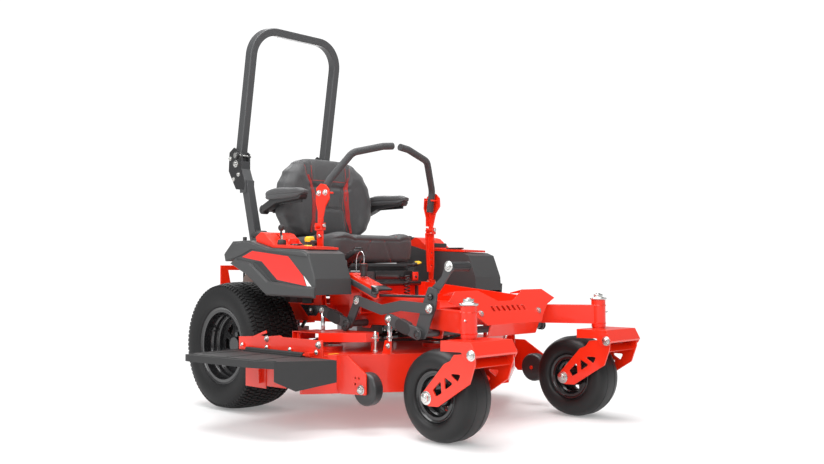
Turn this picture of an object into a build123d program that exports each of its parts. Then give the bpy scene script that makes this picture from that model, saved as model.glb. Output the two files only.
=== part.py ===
"""Zero turn mower, modelled in millimetres with +Z up.

Working frame while modelling: ground at z = 0, the rear axle above y = 0, the
machine's front towards -Y, its left towards +X and its discharge side towards -X.
ORIGIN then moves everything so that the bottom centre of the whole machine is at zero.
"""
from build123d import *
import math
import os

# ---------------------------------------------------------------- stance
WHEELBASE = 1177.0            # rear axle to caster axles
CASTER_TRACK = 812.0
REAR_TRACK = 938.0
REAR_TYRE_D, REAR_TYRE_W = 559.0, 262.0
CASTER_TYRE_D, CASTER_TYRE_W = 330.0, 150.0
REAR_SEAT_R, REAR_FLANGE_R, REAR_RIM_HALF = 152.4, 169.0, 108.0
CASTER_SEAT_R, CASTER_FLANGE_R, CASTER_RIM_HALF = 76.2, 91.0, 57.0
TYRE_GAP = 0.3                # tyre to rim, all round
LEFT_EDGE, RIGHT_EDGE = 652.0, -927.0
REAR_EDGE = 480.0

# ---------------------------------------------------------------- frame
RAIL_X, RAIL_W, RAIL_H, RAIL_TOP, TUBE_WALL = 250.0, 50.0, 76.0, 462.0, 4.0
RAIL_FRONT, RAIL_REAR = -950.0, 440.0
BARREL_R, BARREL_BOTTOM, BARREL_TOP = 29.0, 371.5, 483.0
SWIVEL_TRAIL = 107.0          # caster axle behind the swivel axis
SHEET = 4.0                   # pressed sheet steel
PLATE = 6.0                   # flat bar and brackets
RUN = 0.05                    # radial clearance of a turning fit
SIDE_GAP = 0.5                # clearance beside a swinging plate
SEAT_GAP = 0.2                # bolted faces, face to face but never sunk
NOSE_TOP, NOSE_LOW = (-1098.0, 528.0), (-1173.0, 400.0)

# ---------------------------------------------------------------- caster
SPINDLE_R = 16.0
HEAD_TOP = 367.0
HEAD_HALF = 110.0             # outside of the head's side flanges
ARM_HALF = 104.0              # outside of the fork arm's plates
PIVOT_Y, PIVOT_Z, PIVOT_R = -1388.0, 325.0, 8.0
AXLE_R = 9.5
HEAD_NOSE = 22.0              # head flange ahead of the pivot
FRONT_EDGE = PIVOT_Y - HEAD_NOSE
ORIGIN = Vector((LEFT_EDGE + RIGHT_EDGE) / 2, (FRONT_EDGE + REAR_EDGE) / 2, 0)

# ---------------------------------------------------------------- deck
DECK_TOP, DECK_BOTTOM, DECK_SKIN = 286.0, 140.0, 4.0
DECK_HALF = 652.0
BLADE_R, BLADE_Z = 228.0, 168.0
OUTER_SPINDLE, CENTRE_SPINDLE = (410.0, -530.0), (0.0, -745.0)
PULLEY_R, PULLEY_Z = 55.0, 322.0
DECK_REAR = -292.0
COVER_TOP, COVER_H = 362.0, 36.0
LUG_TOP = 338.0               # hanger rods stand on these lugs
BRACKET_X = 540.0             # inside of the anti-scalp wheel brackets
ROLLER_R, ROLLER_Y, ROLLER_Z = 62.0, -880.0, 168.0

# ---------------------------------------------------------------- deck lift
FRONT_SHAFT = (-1012.0, 370.0)
REAR_SHAFT = (-610.0, 393.0)
LIFT_ARM = (152.0, 50.0)      # from a lift shaft to its hanger bolt
LINK_ARM = (-54.0, 95.0)      # from a lift shaft to the link bar's bolt
ROD_ARM = (-58.0, 139.0)      # from the front shaft to the depth rod's bolt
LIFT_X = 372.0
LINK_HALF = 20.0              # half the width of the cranked link bar
SHAFT_R = 14.0

# ---------------------------------------------------------------- roll bar
ROPS_X, ROPS_W, ROPS_D = 264.0, 38.0, 50.0
FOLD_Y, FOLD_Z = 326.0, 1136.0
ROPS_TOP, ROPS_TOP_Y = 1798.0, 213.0
ROPS_BEND = 130.0

# ---------------------------------------------------------------- controls and seat
LEVER_X, LEVER_Y, LEVER_Z = 344.0, -394.0, 548.0
PARK_Z = 800.0                # pin that lets a lap bar swing outward
ARMREST_X, ARMREST_Y, ARMREST_Z = 316.0, 50.0, 893.0
BRAKE_X, BRAKE_Y, BRAKE_Z = 258.0, -400.0, 585.0
THROTTLE_X, THROTTLE_Y, THROTTLE_Z = -480.0, -300.0, 724.0
PTO_X, PTO_Y, PTO_REST = -430.0, -430.0, 712.0
TUBE_R, GRIP_R = 12.7, 16.0
SEAT_HALF, SEAT_TOP, SEAT_FRONT, SEAT_REAR = 243.0, 770.0, -392.0, 60.0


# ================================================================ helpers
def block(x0, x1, y0, y1, z0, z1):
    """Rectangular solid between two corners."""
    size = (abs(x1 - x0), abs(y1 - y0), abs(z1 - z0))
    return Pos((x0 + x1) / 2, (y0 + y1) / 2, (z0 + z1) / 2) * Box(*size)


def outline(points, radius=0.0):
    """Closed flat outline, its corners rounded when a radius is given."""
    if radius:
        return make_face(FilletPolyline(*points, radius=radius, close=True))
    return make_face(Polyline(*points, close=True))


def plate_x(points, x0, x1, radius=0.0):
    """Plate across X from an outline of (y, z) points."""
    face = Plane((x0, 0, 0), x_dir=(0, 1, 0), z_dir=(1, 0, 0)) * outline(points, radius)
    return extrude(face, amount=x1 - x0, dir=(1, 0, 0))


def plate_y(points, y0, y1, radius=0.0):
    """Plate across Y from an outline of (x, z) points."""
    face = Plane((0, y0, 0), x_dir=(1, 0, 0), z_dir=(0, -1, 0)) * outline(points, radius)
    return extrude(face, amount=y1 - y0, dir=(0, 1, 0))


def plate_z(points, z0, z1, radius=0.0):
    """Plate across Z from an outline of (x, y) points."""
    return extrude(Pos(0, 0, z0) * outline(points, radius), amount=z1 - z0, dir=(0, 0, 1))


def rod_x(r, x0, x1, y, z):
    """Round bar along X."""
    return Pos((x0 + x1) / 2, y, z) * Rot(0, 90, 0) * Cylinder(r, abs(x1 - x0))


def rod_y(r, y0, y1, x, z):
    """Round bar along Y."""
    return Pos(x, (y0 + y1) / 2, z) * Rot(90, 0, 0) * Cylinder(r, abs(y1 - y0))


def rod_z(r, z0, z1, x, y):
    """Round bar along Z."""
    return Pos(x, y, (z0 + z1) / 2) * Cylinder(r, abs(z1 - z0))


def bar_x(p0, p1, width, x0, x1):
    """Flat bar with round ends from p0 to p1, both (y, z), between two X faces."""
    (y0, z0), (y1, z1) = p0, p1
    run = math.hypot(y1 - y0, z1 - z0)
    across = (-(z1 - z0) / run * width / 2, (y1 - y0) / run * width / 2)
    sides = [(y0 + across[0], z0 + across[1]), (y1 + across[0], z1 + across[1]),
             (y1 - across[0], z1 - across[1]), (y0 - across[0], z0 - across[1])]
    body = plate_x(sides, x0, x1)
    return body + rod_x(width / 2, x0, x1, y0, z0) + rod_x(width / 2, x0, x1, y1, z1)


def spin_x(section, x_centre, y, z):
    """Ring about a wheel axle from a closed (outboard, radius) section, outboard towards -X."""
    face = make_face(Polyline(*[(-u, r, 0) for u, r in section], close=True))
    return Pos(x_centre, y, z) * revolve(face, Axis.X, 360)


def spin_z(section, x, y, z):
    """Ring about a vertical axis from a closed (radius, height) section."""
    face = make_face(Polyline(*[(r, 0, h) for r, h in section], close=True))
    return Pos(x, y, z) * revolve(face, Axis.Z, 360)


def flip(solids):
    """Mirror image on the machine's other side."""
    return [s.mirror(Plane.YZ) for s in solids]


def hex_x(across, x0, x1, y, z):
    """Hexagon head along X."""
    face = Plane((x0, y, z), x_dir=(0, 1, 0), z_dir=(1, 0, 0)) * RegularPolygon(across / 2, 6)
    return extrude(face, amount=x1 - x0, dir=(1, 0, 0))


def hex_z(across, z0, z1, x, y):
    """Hexagon head along Z."""
    return extrude(Pos(x, y, z0) * RegularPolygon(across / 2, 6), amount=z1 - z0, dir=(0, 0, 1))


PARTS = {}


def keep(name, *solids):
    """Store a node's solids under its name."""
    PARTS[name] = [s for shape in solids for s in (shape if isinstance(shape, list) else [shape])]


def pair(name, solids):
    """Store a right-hand node and its mirror image on the left."""
    keep("right_" + name, *solids)
    keep("left_" + name, *flip(solids))


# ================================================================ wheels
def tyre_section(seat_r, flange_r, half_rim, half_w, tread_r, wall):
    """Hollow tyre section as (outboard, radius) points, bead to bead."""
    bead, side = half_rim - 6.5, half_w
    deep = tread_r - seat_r
    outer = [(bead, seat_r + TYRE_GAP), (bead, flange_r + 1.5), (side - 3, seat_r + 0.30 * deep),
             (side, seat_r + 0.52 * deep), (side - 3, seat_r + 0.74 * deep),
             (side - 0.09 * half_w, seat_r + 0.90 * deep), (side - 0.24 * half_w, tread_r - 0.03 * deep),
             (side - 0.55 * half_w, tread_r)]
    inner = [(side - 0.6 * half_w, tread_r - wall), (side - 0.28 * half_w, tread_r - wall - 0.04 * deep),
             (side - wall - 0.02 * half_w, seat_r + 0.70 * deep), (side - wall, seat_r + 0.50 * deep),
             (bead - wall, seat_r + 0.26 * deep), (bead - wall, seat_r + TYRE_GAP)]
    right = outer + [(0, tread_r)]
    left = [(-u, r) for u, r in reversed(outer)]
    back = [(-u, r) for u, r in reversed(inner)]
    return right + left + back + [(0, tread_r - wall)] + inner


def rim_section(seat_r, flange_r, half, well, wall):
    """Pressed rim section as (outboard, radius) points."""
    flange = 6.0
    top = [(half, flange_r), (half - flange, flange_r), (half - flange, seat_r),
           (0.55 * half, seat_r), (0.40 * half, seat_r - well)]
    under = [(0.36 * half, seat_r - well - wall), (0.52 * half, seat_r - wall), (half, seat_r - wall)]
    mirrored = [(-u, r) for u, r in reversed(top)]
    return top + mirrored + [(-u, r) for u, r in reversed(under)] + under


def rear_wheel():
    """Right rear wheel: pressed rim with a windowed disc, hub and stub axle, and its tyre."""
    x, z = -REAR_TRACK / 2, REAR_TYRE_D / 2
    rim = spin_x(rim_section(REAR_SEAT_R, REAR_FLANGE_R, REAR_RIM_HALF, 20, 5), x, 0, z)
    disc = rod_x(REAR_SEAT_R - 21, x - 20, x - 14, 0, z)
    for k in range(8):
        window = plate_x([(-17, 66), (17, 66), (26, 108), (-26, 108)], x - 30, x, 7)
        disc -= Pos(0, 0, z) * Rot(45 * k, 0, 0) * window
    hub = rod_x(34, x - 46, x - 14, 0, z) + rod_x(58, x - 14, x + 20, 0, z)
    axle = rod_x(SPINDLE_R, x + 19, -REAR_TRACK / 2 + 150, 0, z)
    wheel = rim + disc + hub + axle
    for k in range(5):
        a = math.radians(72 * k + 18)
        wheel += hex_x(24, x - 34, x - 19, 46 * math.cos(a), z + 46 * math.sin(a))
    section = tyre_section(REAR_SEAT_R, REAR_FLANGE_R, REAR_RIM_HALF, REAR_TYRE_W / 2, REAR_TYRE_D / 2, 11)
    return [wheel], [spin_x(section, x, 0, z)]


def caster_wheel():
    """Right caster wheel: small rim with a hub tube, and its smooth tyre."""
    x, y, z = -CASTER_TRACK / 2, -WHEELBASE, CASTER_TYRE_D / 2
    rim = spin_x(rim_section(CASTER_SEAT_R, CASTER_FLANGE_R, CASTER_RIM_HALF, 10, 4), x, y, z)
    disc = rod_x(CASTER_SEAT_R - 10, x - 3, x + 3, y, z)
    for k in range(6):
        slot = plate_x([(-8, 36), (8, 36), (11, 56), (-11, 56)], x - 10, x + 10, 4)
        disc -= Pos(0, y, z) * Rot(60 * k, 0, 0) * slot
    hub = rod_x(24, x - 92, x + 92, y, z)
    wheel = rim + disc + hub - rod_x(AXLE_R + RUN, x - 95, x + 95, y, z)
    section = tyre_section(CASTER_SEAT_R, CASTER_FLANGE_R, CASTER_RIM_HALF, CASTER_TYRE_W / 2,
                           CASTER_TYRE_D / 2, 10)
    return [wheel], [spin_x(section, x, y, z)]


def caster_head():
    """Right caster head: folded bracket, swivel spindle, cap and the two pivot bolts."""
    x, y = -CASTER_TRACK / 2, -WHEELBASE - SWIVEL_TRAIL
    top_rear, top_front = y + 33, y - 103
    flange = [(top_rear, HEAD_TOP), (top_front, HEAD_TOP), (FRONT_EDGE, PIVOT_Z),
              (PIVOT_Y - 12, PIVOT_Z - 18), (PIVOT_Y + 22, PIVOT_Z - 19),
              (PIVOT_Y + 45, PIVOT_Z + 8), (top_rear, PIVOT_Z + 6)]
    shell = plate_x(flange, x - HEAD_HALF, x + HEAD_HALF)
    inside = HEAD_HALF - SHEET - 1.5
    room = plate_x([(top_rear + 5, HEAD_TOP - PLATE), (top_front + 2, HEAD_TOP - PLATE),
                    (PIVOT_Y - 18, PIVOT_Z + 2), (PIVOT_Y - 18, PIVOT_Z - 60),
                    (top_rear + 5, PIVOT_Z - 60)], x - inside, x + inside)
    head = shell - room
    head += rod_z(26, HEAD_TOP - 1, BARREL_BOTTOM - SIDE_GAP, x, y)
    head += rod_z(SPINDLE_R, HEAD_TOP - 1, BARREL_TOP + 12, x, y)
    head += rod_z(30, BARREL_TOP + SIDE_GAP, BARREL_TOP + 8, x, y)
    head += hex_z(34, BARREL_TOP + 7, BARREL_TOP + 20, x, y)
    for side in (-1, 1):
        outer, inner = side * (HEAD_HALF + 8), side * (ARM_HALF - PLATE - 3)
        head += rod_x(PIVOT_R, x + outer, x + inner, PIVOT_Y, PIVOT_Z)
        head += hex_x(26, x + side * (HEAD_HALF - 1), x + outer, PIVOT_Y, PIVOT_Z)
    return [head]


def fork_arm():
    """Right suspension fork: two windowed side plates, their bridge, and the wheel axle."""
    x, y, z = -CASTER_TRACK / 2, -WHEELBASE, CASTER_TYRE_D / 2
    side = [(y + 26, z + 8), (y + 14, z - 20), (y - 12, z - 27), (y - 54, z - 25), (y - 197, z + 64),
            (PIVOT_Y - 11, PIVOT_Z - 30), (PIVOT_Y - 12, PIVOT_Z + 6), (PIVOT_Y, PIVOT_Z + 14),
            (PIVOT_Y + 20, PIVOT_Z + 4), (y - 129, z + 157), (y - 112, z + 135), (y - 84, z + 123)]
    window_a = [(y - 30, z + 30), (y - 68, z + 66), (y - 72, z + 23), (y - 45, z + 8)]
    window_b = [(y - 84, z + 80), (y - 125, z + 60), (y - 86, z + 34)]
    window_c = [(y - 101, z + 93), (y - 160, z + 93), (y - 146, z + 67)]
    arm = None
    for s in (-1, 1):
        x0, x1 = x + s * ARM_HALF, x + s * (ARM_HALF - PLATE)
        plate = plate_x(side, min(x0, x1), max(x0, x1))
        for window in (window_a, window_b, window_c):
            plate -= plate_x(window, min(x0, x1) - 2, max(x0, x1) + 2, 5)
        plate -= rod_x(PIVOT_R + RUN, x0, x1, PIVOT_Y, PIVOT_Z)
        plate -= rod_x(AXLE_R + 0.1, x0, x1, y, z)
        arm = plate if arm is None else arm + plate
    bridge = [(y - 129, z + 157), (y - 129, z + 150), (y - 182, z + 134), (y - 205, z + 114),
              (y - 212, z + 118), (y - 190, z + 141)]
    arm += plate_x(bridge, x - ARM_HALF, x + ARM_HALF)
    reach = ARM_HALF + 12
    axle = rod_x(AXLE_R, x - reach, x + reach, y, z)
    axle += hex_x(28, x - reach, x - ARM_HALF - 0.2, y, z) + hex_x(28, x + ARM_HALF + 0.2, x + reach, y, z)
    axle += rod_x(20, x - ARM_HALF + PLATE + 0.2, x - 92.5, y, z)
    axle += rod_x(20, x + 92.5, x + ARM_HALF - PLATE - 0.2, y, z)
    return [arm, axle]


# ================================================================ frame
def rail():
    """Right frame rail with its splayed caster arm and barrel, one weldment."""
    x0, x1, bottom = -RAIL_X - RAIL_W / 2, -RAIL_X + RAIL_W / 2, RAIL_TOP - RAIL_H
    swivel = (-CASTER_TRACK / 2, -WHEELBASE - SWIVEL_TRAIL)
    run = math.hypot(swivel[0] + RAIL_X, swivel[1] - RAIL_FRONT)
    along = ((swivel[0] + RAIL_X) / run, (swivel[1] - RAIL_FRONT) / run)
    across = (-along[1], along[0])

    def arm_box(half, grow, z0, z1):
        ends = [(-RAIL_X - along[0] * grow, RAIL_FRONT - along[1] * grow),
                (swivel[0] - along[0] * 12, swivel[1] - along[1] * 12)]
        points = [(ends[0][0] + across[0] * half, ends[0][1] + across[1] * half),
                  (ends[1][0] + across[0] * half, ends[1][1] + across[1] * half),
                  (ends[1][0] - across[0] * half, ends[1][1] - across[1] * half),
                  (ends[0][0] - across[0] * half, ends[0][1] - across[1] * half)]
        return plate_z(points, z0, z1)

    tube = block(x0, x1, RAIL_FRONT - 6, RAIL_REAR, bottom, RAIL_TOP)
    tube += arm_box(RAIL_W / 2, 0, bottom, RAIL_TOP)
    w = TUBE_WALL
    tube -= block(x0 + w, x1 - w, RAIL_FRONT + 20, RAIL_REAR + 1, bottom + w, RAIL_TOP - w)
    tube -= arm_box(RAIL_W / 2 - w, -20, bottom + w, RAIL_TOP - w)
    barrel = rod_z(BARREL_R, BARREL_BOTTOM, BARREL_TOP, *swivel)
    bore = rod_z(SPINDLE_R + RUN, BARREL_BOTTOM - 1, BARREL_TOP + 1, *swivel)
    tube = tube + barrel - bore
    tube -= rod_x(SHAFT_R + 1, x0 - 1, x1 + 1, *REAR_SHAFT)
    for (y, z), lug_x in ((FRONT_SHAFT, -276.0), (REAR_SHAFT, x0)):
        lug = [(y - 32, bottom + 2), (y + 32, bottom + 2), (y + 22, z - SHAFT_R - 8), (y - 22, z - SHAFT_R - 8)]
        tube += plate_x(lug, lug_x, lug_x + PLATE)
        tube -= rod_x(SHAFT_R + RUN, lug_x - 1, lug_x + PLATE + 1, y, z)
    return [tube, lever_mount()]


def crossmembers():
    """Front tube, middle tube and rear engine plate, each welded between the rails."""
    half, bottom = RAIL_X - RAIL_W / 2, RAIL_TOP - RAIL_H
    front = block(-half, half, -990, -940, bottom, RAIL_TOP) - block(
        -half - 1, half + 1, -986, -944, bottom + 4, RAIL_TOP - 4)
    lean = (NOSE_LOW[0] - NOSE_TOP[0]) / (NOSE_TOP[1] - NOSE_LOW[1])
    back = SHEET * math.hypot(1, lean) + SEAT_GAP
    faces = [(NOSE_TOP[0] + (NOSE_TOP[1] - z) * lean + back, z) for z in (bottom + 52, RAIL_TOP + 20)]
    for side in (-1, 1):
        lug = [(-989, bottom + 6), faces[0], faces[1], (-1044, RAIL_TOP), (-989, RAIL_TOP)]
        front += plate_x(lug, side * 180 - 3, side * 180 + 3)
    middle = block(-half, half, -330, -280, bottom, RAIL_TOP - 6) - block(
        -half - 1, half + 1, -326, -284, bottom + 4, RAIL_TOP - 10)
    engine_plate = block(-half, half, 60, 430, RAIL_TOP - 30, RAIL_TOP - 24)
    engine_plate -= rod_z(34, RAIL_TOP - 40, RAIL_TOP, 0, 210)
    rear = block(-half, half, 395, 440, bottom, RAIL_TOP - 30.2)
    return [front, middle, engine_plate, rear]


def nose_panel():
    """Folded nose panel: sloped face with a notch, side fins, slots and a lower lip."""
    (top_y, top_z), (low_y, low_z) = NOSE_TOP, NOSE_LOW
    run = math.hypot(low_y - top_y, low_z - top_z)
    up = Vector(0, (top_y - low_y) / run, (top_z - low_z) / run)
    facing = Vector(0, -up.Z, up.Y)
    half = [(45, -49), (138, 0), (270, 0), (330, -44), (262, -70), (208, -110), (168, -run)]
    points = half + [(-u, v) for u, v in reversed(half)]
    plane = Plane((0, top_y, top_z), x_dir=(1, 0, 0), z_dir=facing)
    panel = extrude(plane * outline(points), amount=SHEET, dir=-facing)
    for k in range(7):
        u = -96 + 32 * k
        slot = [(u - 4, -92), (u + 12, -92), (u + 4, -68), (u - 12, -68)]
        panel -= extrude(plane * outline(slot), amount=20, both=True)
    lip = [(low_y, low_z), (-1156, 356), (-1152, 357), (low_y + 5, low_z + 3)]
    panel += plate_x(lip, -150, 150)
    back = [(top_y + 1, top_z), (top_y + 62, top_z - 14), (top_y + 62, top_z - 18), (top_y + 5, top_z - 5)]
    for side in (-1, 1):
        panel += plate_x(back, min(side * 138, side * 268), max(side * 138, side * 268))
        bolt = Plane((side * 180, -1147.5, 443), x_dir=(1, 0, 0), z_dir=facing)
        panel += extrude(bolt * Circle(9), amount=5, dir=facing)
    return [panel]


def floor_pan():
    """Foot platform: floor, side walls that slope down to the front, and the rear wall."""
    base = RAIL_TOP
    floor = block(-296, 296, -1040, -400, base, base + SHEET)
    wall = [(-1040, base), (-400, base), (-400, base + 92), (-500, base + 84), (-1040, base + 30)]
    pan = floor + plate_x(wall, 292, 296) + plate_x(wall, -296, -292)
    pan += block(-296, 296, -404, -400, base, base + 92)
    return [pan]


def rear_bumper():
    """Rear bumper: cross plate with hitch tongue, uprights and a top guard."""
    z0 = RAIL_TOP - RAIL_H - 60
    plate = block(-300, 300, RAIL_REAR, RAIL_REAR + 8, z0, RAIL_TOP + 10)
    for side in (-1, 1):
        upright = [(side * 300, RAIL_TOP), (side * 300, 636), (side * 262, 636), (side * 225, RAIL_TOP)]
        plate += plate_y(upright, RAIL_REAR, RAIL_REAR + 8)
    plate += block(-262, 262, RAIL_REAR, RAIL_REAR + 30, 612, 636)
    tongue = block(-50, 50, RAIL_REAR - 2, REAR_EDGE, z0, z0 + 10)
    tongue -= rod_z(9.5, z0 - 1, z0 + 12, 0, REAR_EDGE - 20)
    return [plate + tongue]


# ================================================================ roll bar
def rops_post():
    """Right roll bar post: leaning leg on a foot plate and the fold bracket at its top."""
    x0, x1 = -ROPS_X - ROPS_W / 2, -ROPS_X + ROPS_W / 2
    lean = 0.27
    foot_y, top_z = 112.0, 1050.0
    foot_z = RAIL_TOP + 8
    half = ROPS_D / 2
    top_y = foot_y + (top_z - foot_z) * lean
    leg = plate_x([(foot_y - half, foot_z), (foot_y + half, foot_z), (top_y + half, top_z),
                   (top_y - half, top_z)], x0, x1)
    leg -= plate_x([(foot_y - half + 4, foot_z + 3), (foot_y + half - 4, foot_z + 3),
                    (top_y + half - 4, top_z - 4), (top_y - half + 4, top_z - 4)], x0 + 4, x1 - 4)
    foot = block(x0 - 10, x1 + 10, foot_y - 70, foot_y + 80, RAIL_TOP, foot_z)
    cheek = [(FOLD_Y + 20, FOLD_Z + 84), (FOLD_Y + 60, FOLD_Z + 62), (FOLD_Y + 66, FOLD_Z - 32),
             (FOLD_Y + 2, FOLD_Z - 126), (FOLD_Y - 66, FOLD_Z - 134), (FOLD_Y - 78, FOLD_Z - 96),
             (FOLD_Y - 48, FOLD_Z - 28), (FOLD_Y - 48, FOLD_Z + 48), (FOLD_Y - 28, FOLD_Z + 60)]
    post = leg + foot
    weld = [(top_y - half, top_z - 60), (top_y + half, top_z - 60), (top_y + half, top_z),
            (top_y - half, top_z)]
    for a, b, reach in ((x0 - PLATE, x0 - SIDE_GAP, (x0 - PLATE, x0 + 1)),
                        (x1 + SIDE_GAP, x1 + PLATE, (x1 - 1, x1 + PLATE))):
        side = plate_x(cheek, a, b, 6) + plate_x(weld, *reach)
        for dy, dz in ((50, 30), (20, -75), (-22, -54)):
            side -= rod_x(5, a - 1, b + 1, FOLD_Y + dy, FOLD_Z + dz)
        post += side
    web = [(FOLD_Y - 78, FOLD_Z - 96), (FOLD_Y - 48, FOLD_Z - 28), (FOLD_Y - 48, FOLD_Z + 10),
           (FOLD_Y - 42, FOLD_Z + 10), (FOLD_Y - 42, FOLD_Z - 30), (FOLD_Y - 72, FOLD_Z - 98)]
    post += plate_x(web, x0 - PLATE, x1 + PLATE)
    post += rod_x(8, x0 - PLATE - 9, x1 + PLATE + 9, FOLD_Y, FOLD_Z)
    post += hex_x(26, x0 - PLATE - 9, x0 - PLATE + 1, FOLD_Y, FOLD_Z)
    post += hex_x(26, x1 + PLATE - 1, x1 + PLATE + 9, FOLD_Y, FOLD_Z)
    post -= rod_x(6.3, x0 - PLATE - 5, x1 + PLATE + 5, FOLD_Y - 38, FOLD_Z + 36)
    return [post]


def rops_hoop():
    """Folding roll bar hoop: rectangular tube bent at two corners."""
    low = 30.0
    half = ROPS_W / 2
    slope = (ROPS_TOP_Y - FOLD_Y) / (ROPS_TOP - FOLD_Z)
    path = FilletPolyline((-ROPS_X, FOLD_Y - slope * low, FOLD_Z - low), (-ROPS_X, ROPS_TOP_Y, ROPS_TOP),
                          (ROPS_X, ROPS_TOP_Y, ROPS_TOP), (ROPS_X, FOLD_Y - slope * low, FOLD_Z - low),
                          radius=ROPS_BEND)
    lie = Vector(0, slope, 1).normalized()
    start = Plane((-ROPS_X, FOLD_Y - slope * low, FOLD_Z - low), x_dir=(1, 0, 0), z_dir=lie)
    outer = sweep(start * RectangleRounded(ROPS_W, ROPS_D, 5), path)
    inner = sweep(start * RectangleRounded(ROPS_W - 8, ROPS_D - 8, 2), path)
    hoop = outer - inner
    for side in (-1, 1):
        x = side * ROPS_X
        hoop += rod_x(16, x - half + 0.01, x + half - 0.01, FOLD_Y, FOLD_Z)
        hoop -= rod_x(8 + RUN, x - half - 1, x + half + 1, FOLD_Y, FOLD_Z)
    return [hoop]


def rops_pins():
    """Two latch pins with round knobs, one in each fold bracket."""
    x0, x1 = -ROPS_X - ROPS_W / 2 - PLATE, -ROPS_X + ROPS_W / 2 + PLATE
    y, z = FOLD_Y - 38, FOLD_Z + 36
    pin = rod_x(6, x0 - 20, x1 + 8, y, z) + rod_x(13, x0 - 34, x0 - 20, y, z)
    pin += rod_x(9, x0 - 20, x0 - 0.2, y, z)
    return [pin] + flip([pin])


# ================================================================ bodywork
POD_OUT, POD_IN, POD_FRONT = 572.0, 385.0, -643.0


def tank():
    """Right pod: moulded fender and fuel tank with a raised lower band and filler cap."""
    body = [(-12, 650), (-4, 684), (-70, 737), (-190, 738), (-330, 702), (-560, 690), (-598, 676),
            (POD_FRONT + 4, 575), (POD_FRONT, 512), (-330, 512), (-186, 596), (-90, 660)]
    inner = [(-30, 660), (-22, 680), (-74, 727), (-188, 728), (-328, 692), (-556, 680), (-590, 668),
             (POD_FRONT + 15, 573), (POD_FRONT + 11, 520), (-334, 520), (-190, 603), (-94, 668)]
    pod = plate_x(body, -POD_OUT, -POD_IN)
    pod = fillet(pod.faces().sort_by(Axis.X)[0].edges(), 6)
    pod -= plate_x(inner, -POD_OUT + 8, -POD_IN - 6)
    band = [(-62, 640), (-98, 660), (-216, 641), (-339, 566), (-560, 544), (POD_FRONT - 1, 543),
            (POD_FRONT + 2, 500), (-331, 506), (-186, 592)]
    raised = plate_x(band, -POD_OUT - 12, -POD_OUT + 5)
    raised = chamfer(raised.faces().sort_by(Axis.X)[0].edges(), 7)
    raised -= plate_x([(y, z) for y, z in inner], -POD_OUT + 8, -POD_IN)
    filler = rod_z(42, 726, 752, -455, -120)
    stay = block(-POD_IN - 1, -RAIL_X - RAIL_W / 2 + 4, -250, -190, 505, 511)
    stay += block(-RAIL_X - RAIL_W / 2 - 4, -RAIL_X - RAIL_W / 2 + 4, -250, -190, RAIL_TOP, 511)
    stay += block(-POD_IN - 1, -POD_IN + 5, -250, -190, 505, 620)
    cap = rod_z(38, 752.2, 776, -455, -120)
    return [pod + raised + filler, cap, stay]


def console():
    """Right console: sloped control panel with a raised rear edge and a low front lip."""
    side = [(-566, 692.5), (-330, 704), (-214, 732), (-206, 752), (-244, 772), (-270, 766),
            (-335, 716), (-566, 702)]
    panel = plate_x(side, -545, -388)
    panel -= block(THROTTLE_X - 4, THROTTLE_X + 4, THROTTLE_Y - 30, THROTTLE_Y + 30, 690, 800)
    panel += rod_x(2.5, THROTTLE_X - 5, THROTTLE_X + 5, THROTTLE_Y, THROTTLE_Z)
    return [panel - rod_z(5.5, 690, 800, PTO_X, PTO_Y)]


def seat_base():
    """Seat support: box over the floor pan's rear edge, with the two slide tracks."""
    box = block(-222, 222, -430, -60, 560, 604) - block(-214, 214, -422, -68, 550, 596)
    for side in (-1, 1):
        box += block(side * 222, side * 182, -400, -60, 604, 616)
        box += block(side * 222, side * 214, -428, -412, RAIL_TOP + SHEET, 562)
        box += block(side * 250, side * 214, -110, -60, RAIL_TOP, 566)
    box += rod_x(8, -BRAKE_X - 8, -221, BRAKE_Y, BRAKE_Z)
    return [box]


def height_plate():
    """Cutting height gauge: sloped top plate with rows of pin holes on a side plate."""
    x = -(LIFT_X - 3)
    side = [(-572, 598), (-600, 598), (-785, 532), (-785, 500), (-765, 492), (-572, 566)]
    gauge = plate_x(side, x, x + 5, 4)
    top = [(-580, 598), (-600, 598), (-785, 532), (-785, 527), (-600, 592), (-580, 592)]
    gauge += plate_x(top, x, x + 68)
    for row in range(3):
        for col in range(5):
            y = -628 - 30 * col
            z = 595 - (y + 628) * -0.357
            gauge -= rod_z(5, z - 30, z + 30, x + 18 + 20 * row, y)
    gauge += plate_x([(-572, 592), (-600, 592), (-640, RAIL_TOP + 50), (-640, RAIL_TOP - 30),
                      (-572, RAIL_TOP - 30)], x + 36, x + 41)
    gauge += block(x + 36, -RAIL_X - RAIL_W / 2, -640, -572, RAIL_TOP - 30, RAIL_TOP - 24)
    pin = rod_z(4.5, 560, 612, x + 38, -658) + rod_z(13, 612, 636, x + 38, -658)
    return [gauge, pin]


# ================================================================ seat
def seat_pan():
    """Moving seat frame: pan, runners, adjust lever and the two armrest brackets' ears."""
    pan = block(-205, 205, -372, 60, 628, 640)
    for side in (-1, 1):
        pan += block(side * 216, side * 188, -360, 0, 616.3, 629)
    pan += block(-190, 190, 40, 60, 628, 1010)
    for side in (-1, 1):
        pan += block(side * 262, side * 180, 44, 60, 880, 905)
        pan += rod_x(9, side * 262, side * (ARMREST_X + 14), ARMREST_Y, ARMREST_Z)
    lever_rod = rod_x(5, 206, 262, -340, 634) + rod_x(8, 262, 292, -340, 634)
    return [pan, lever_rod]


def seat_cushion():
    """Plain cushion body."""
    z0, z1 = 640.3, SEAT_TOP
    points = [(SEAT_FRONT, z0 + 10), (SEAT_FRONT + 20, z0), (SEAT_REAR - 30, z0), (SEAT_REAR - 22, z1 - 18),
              (-80, z1 - 14), (SEAT_FRONT + 60, z1), (SEAT_FRONT + 8, z1 - 22)]
    return [plate_x(points, -SEAT_HALF, SEAT_HALF, 8)]


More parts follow.
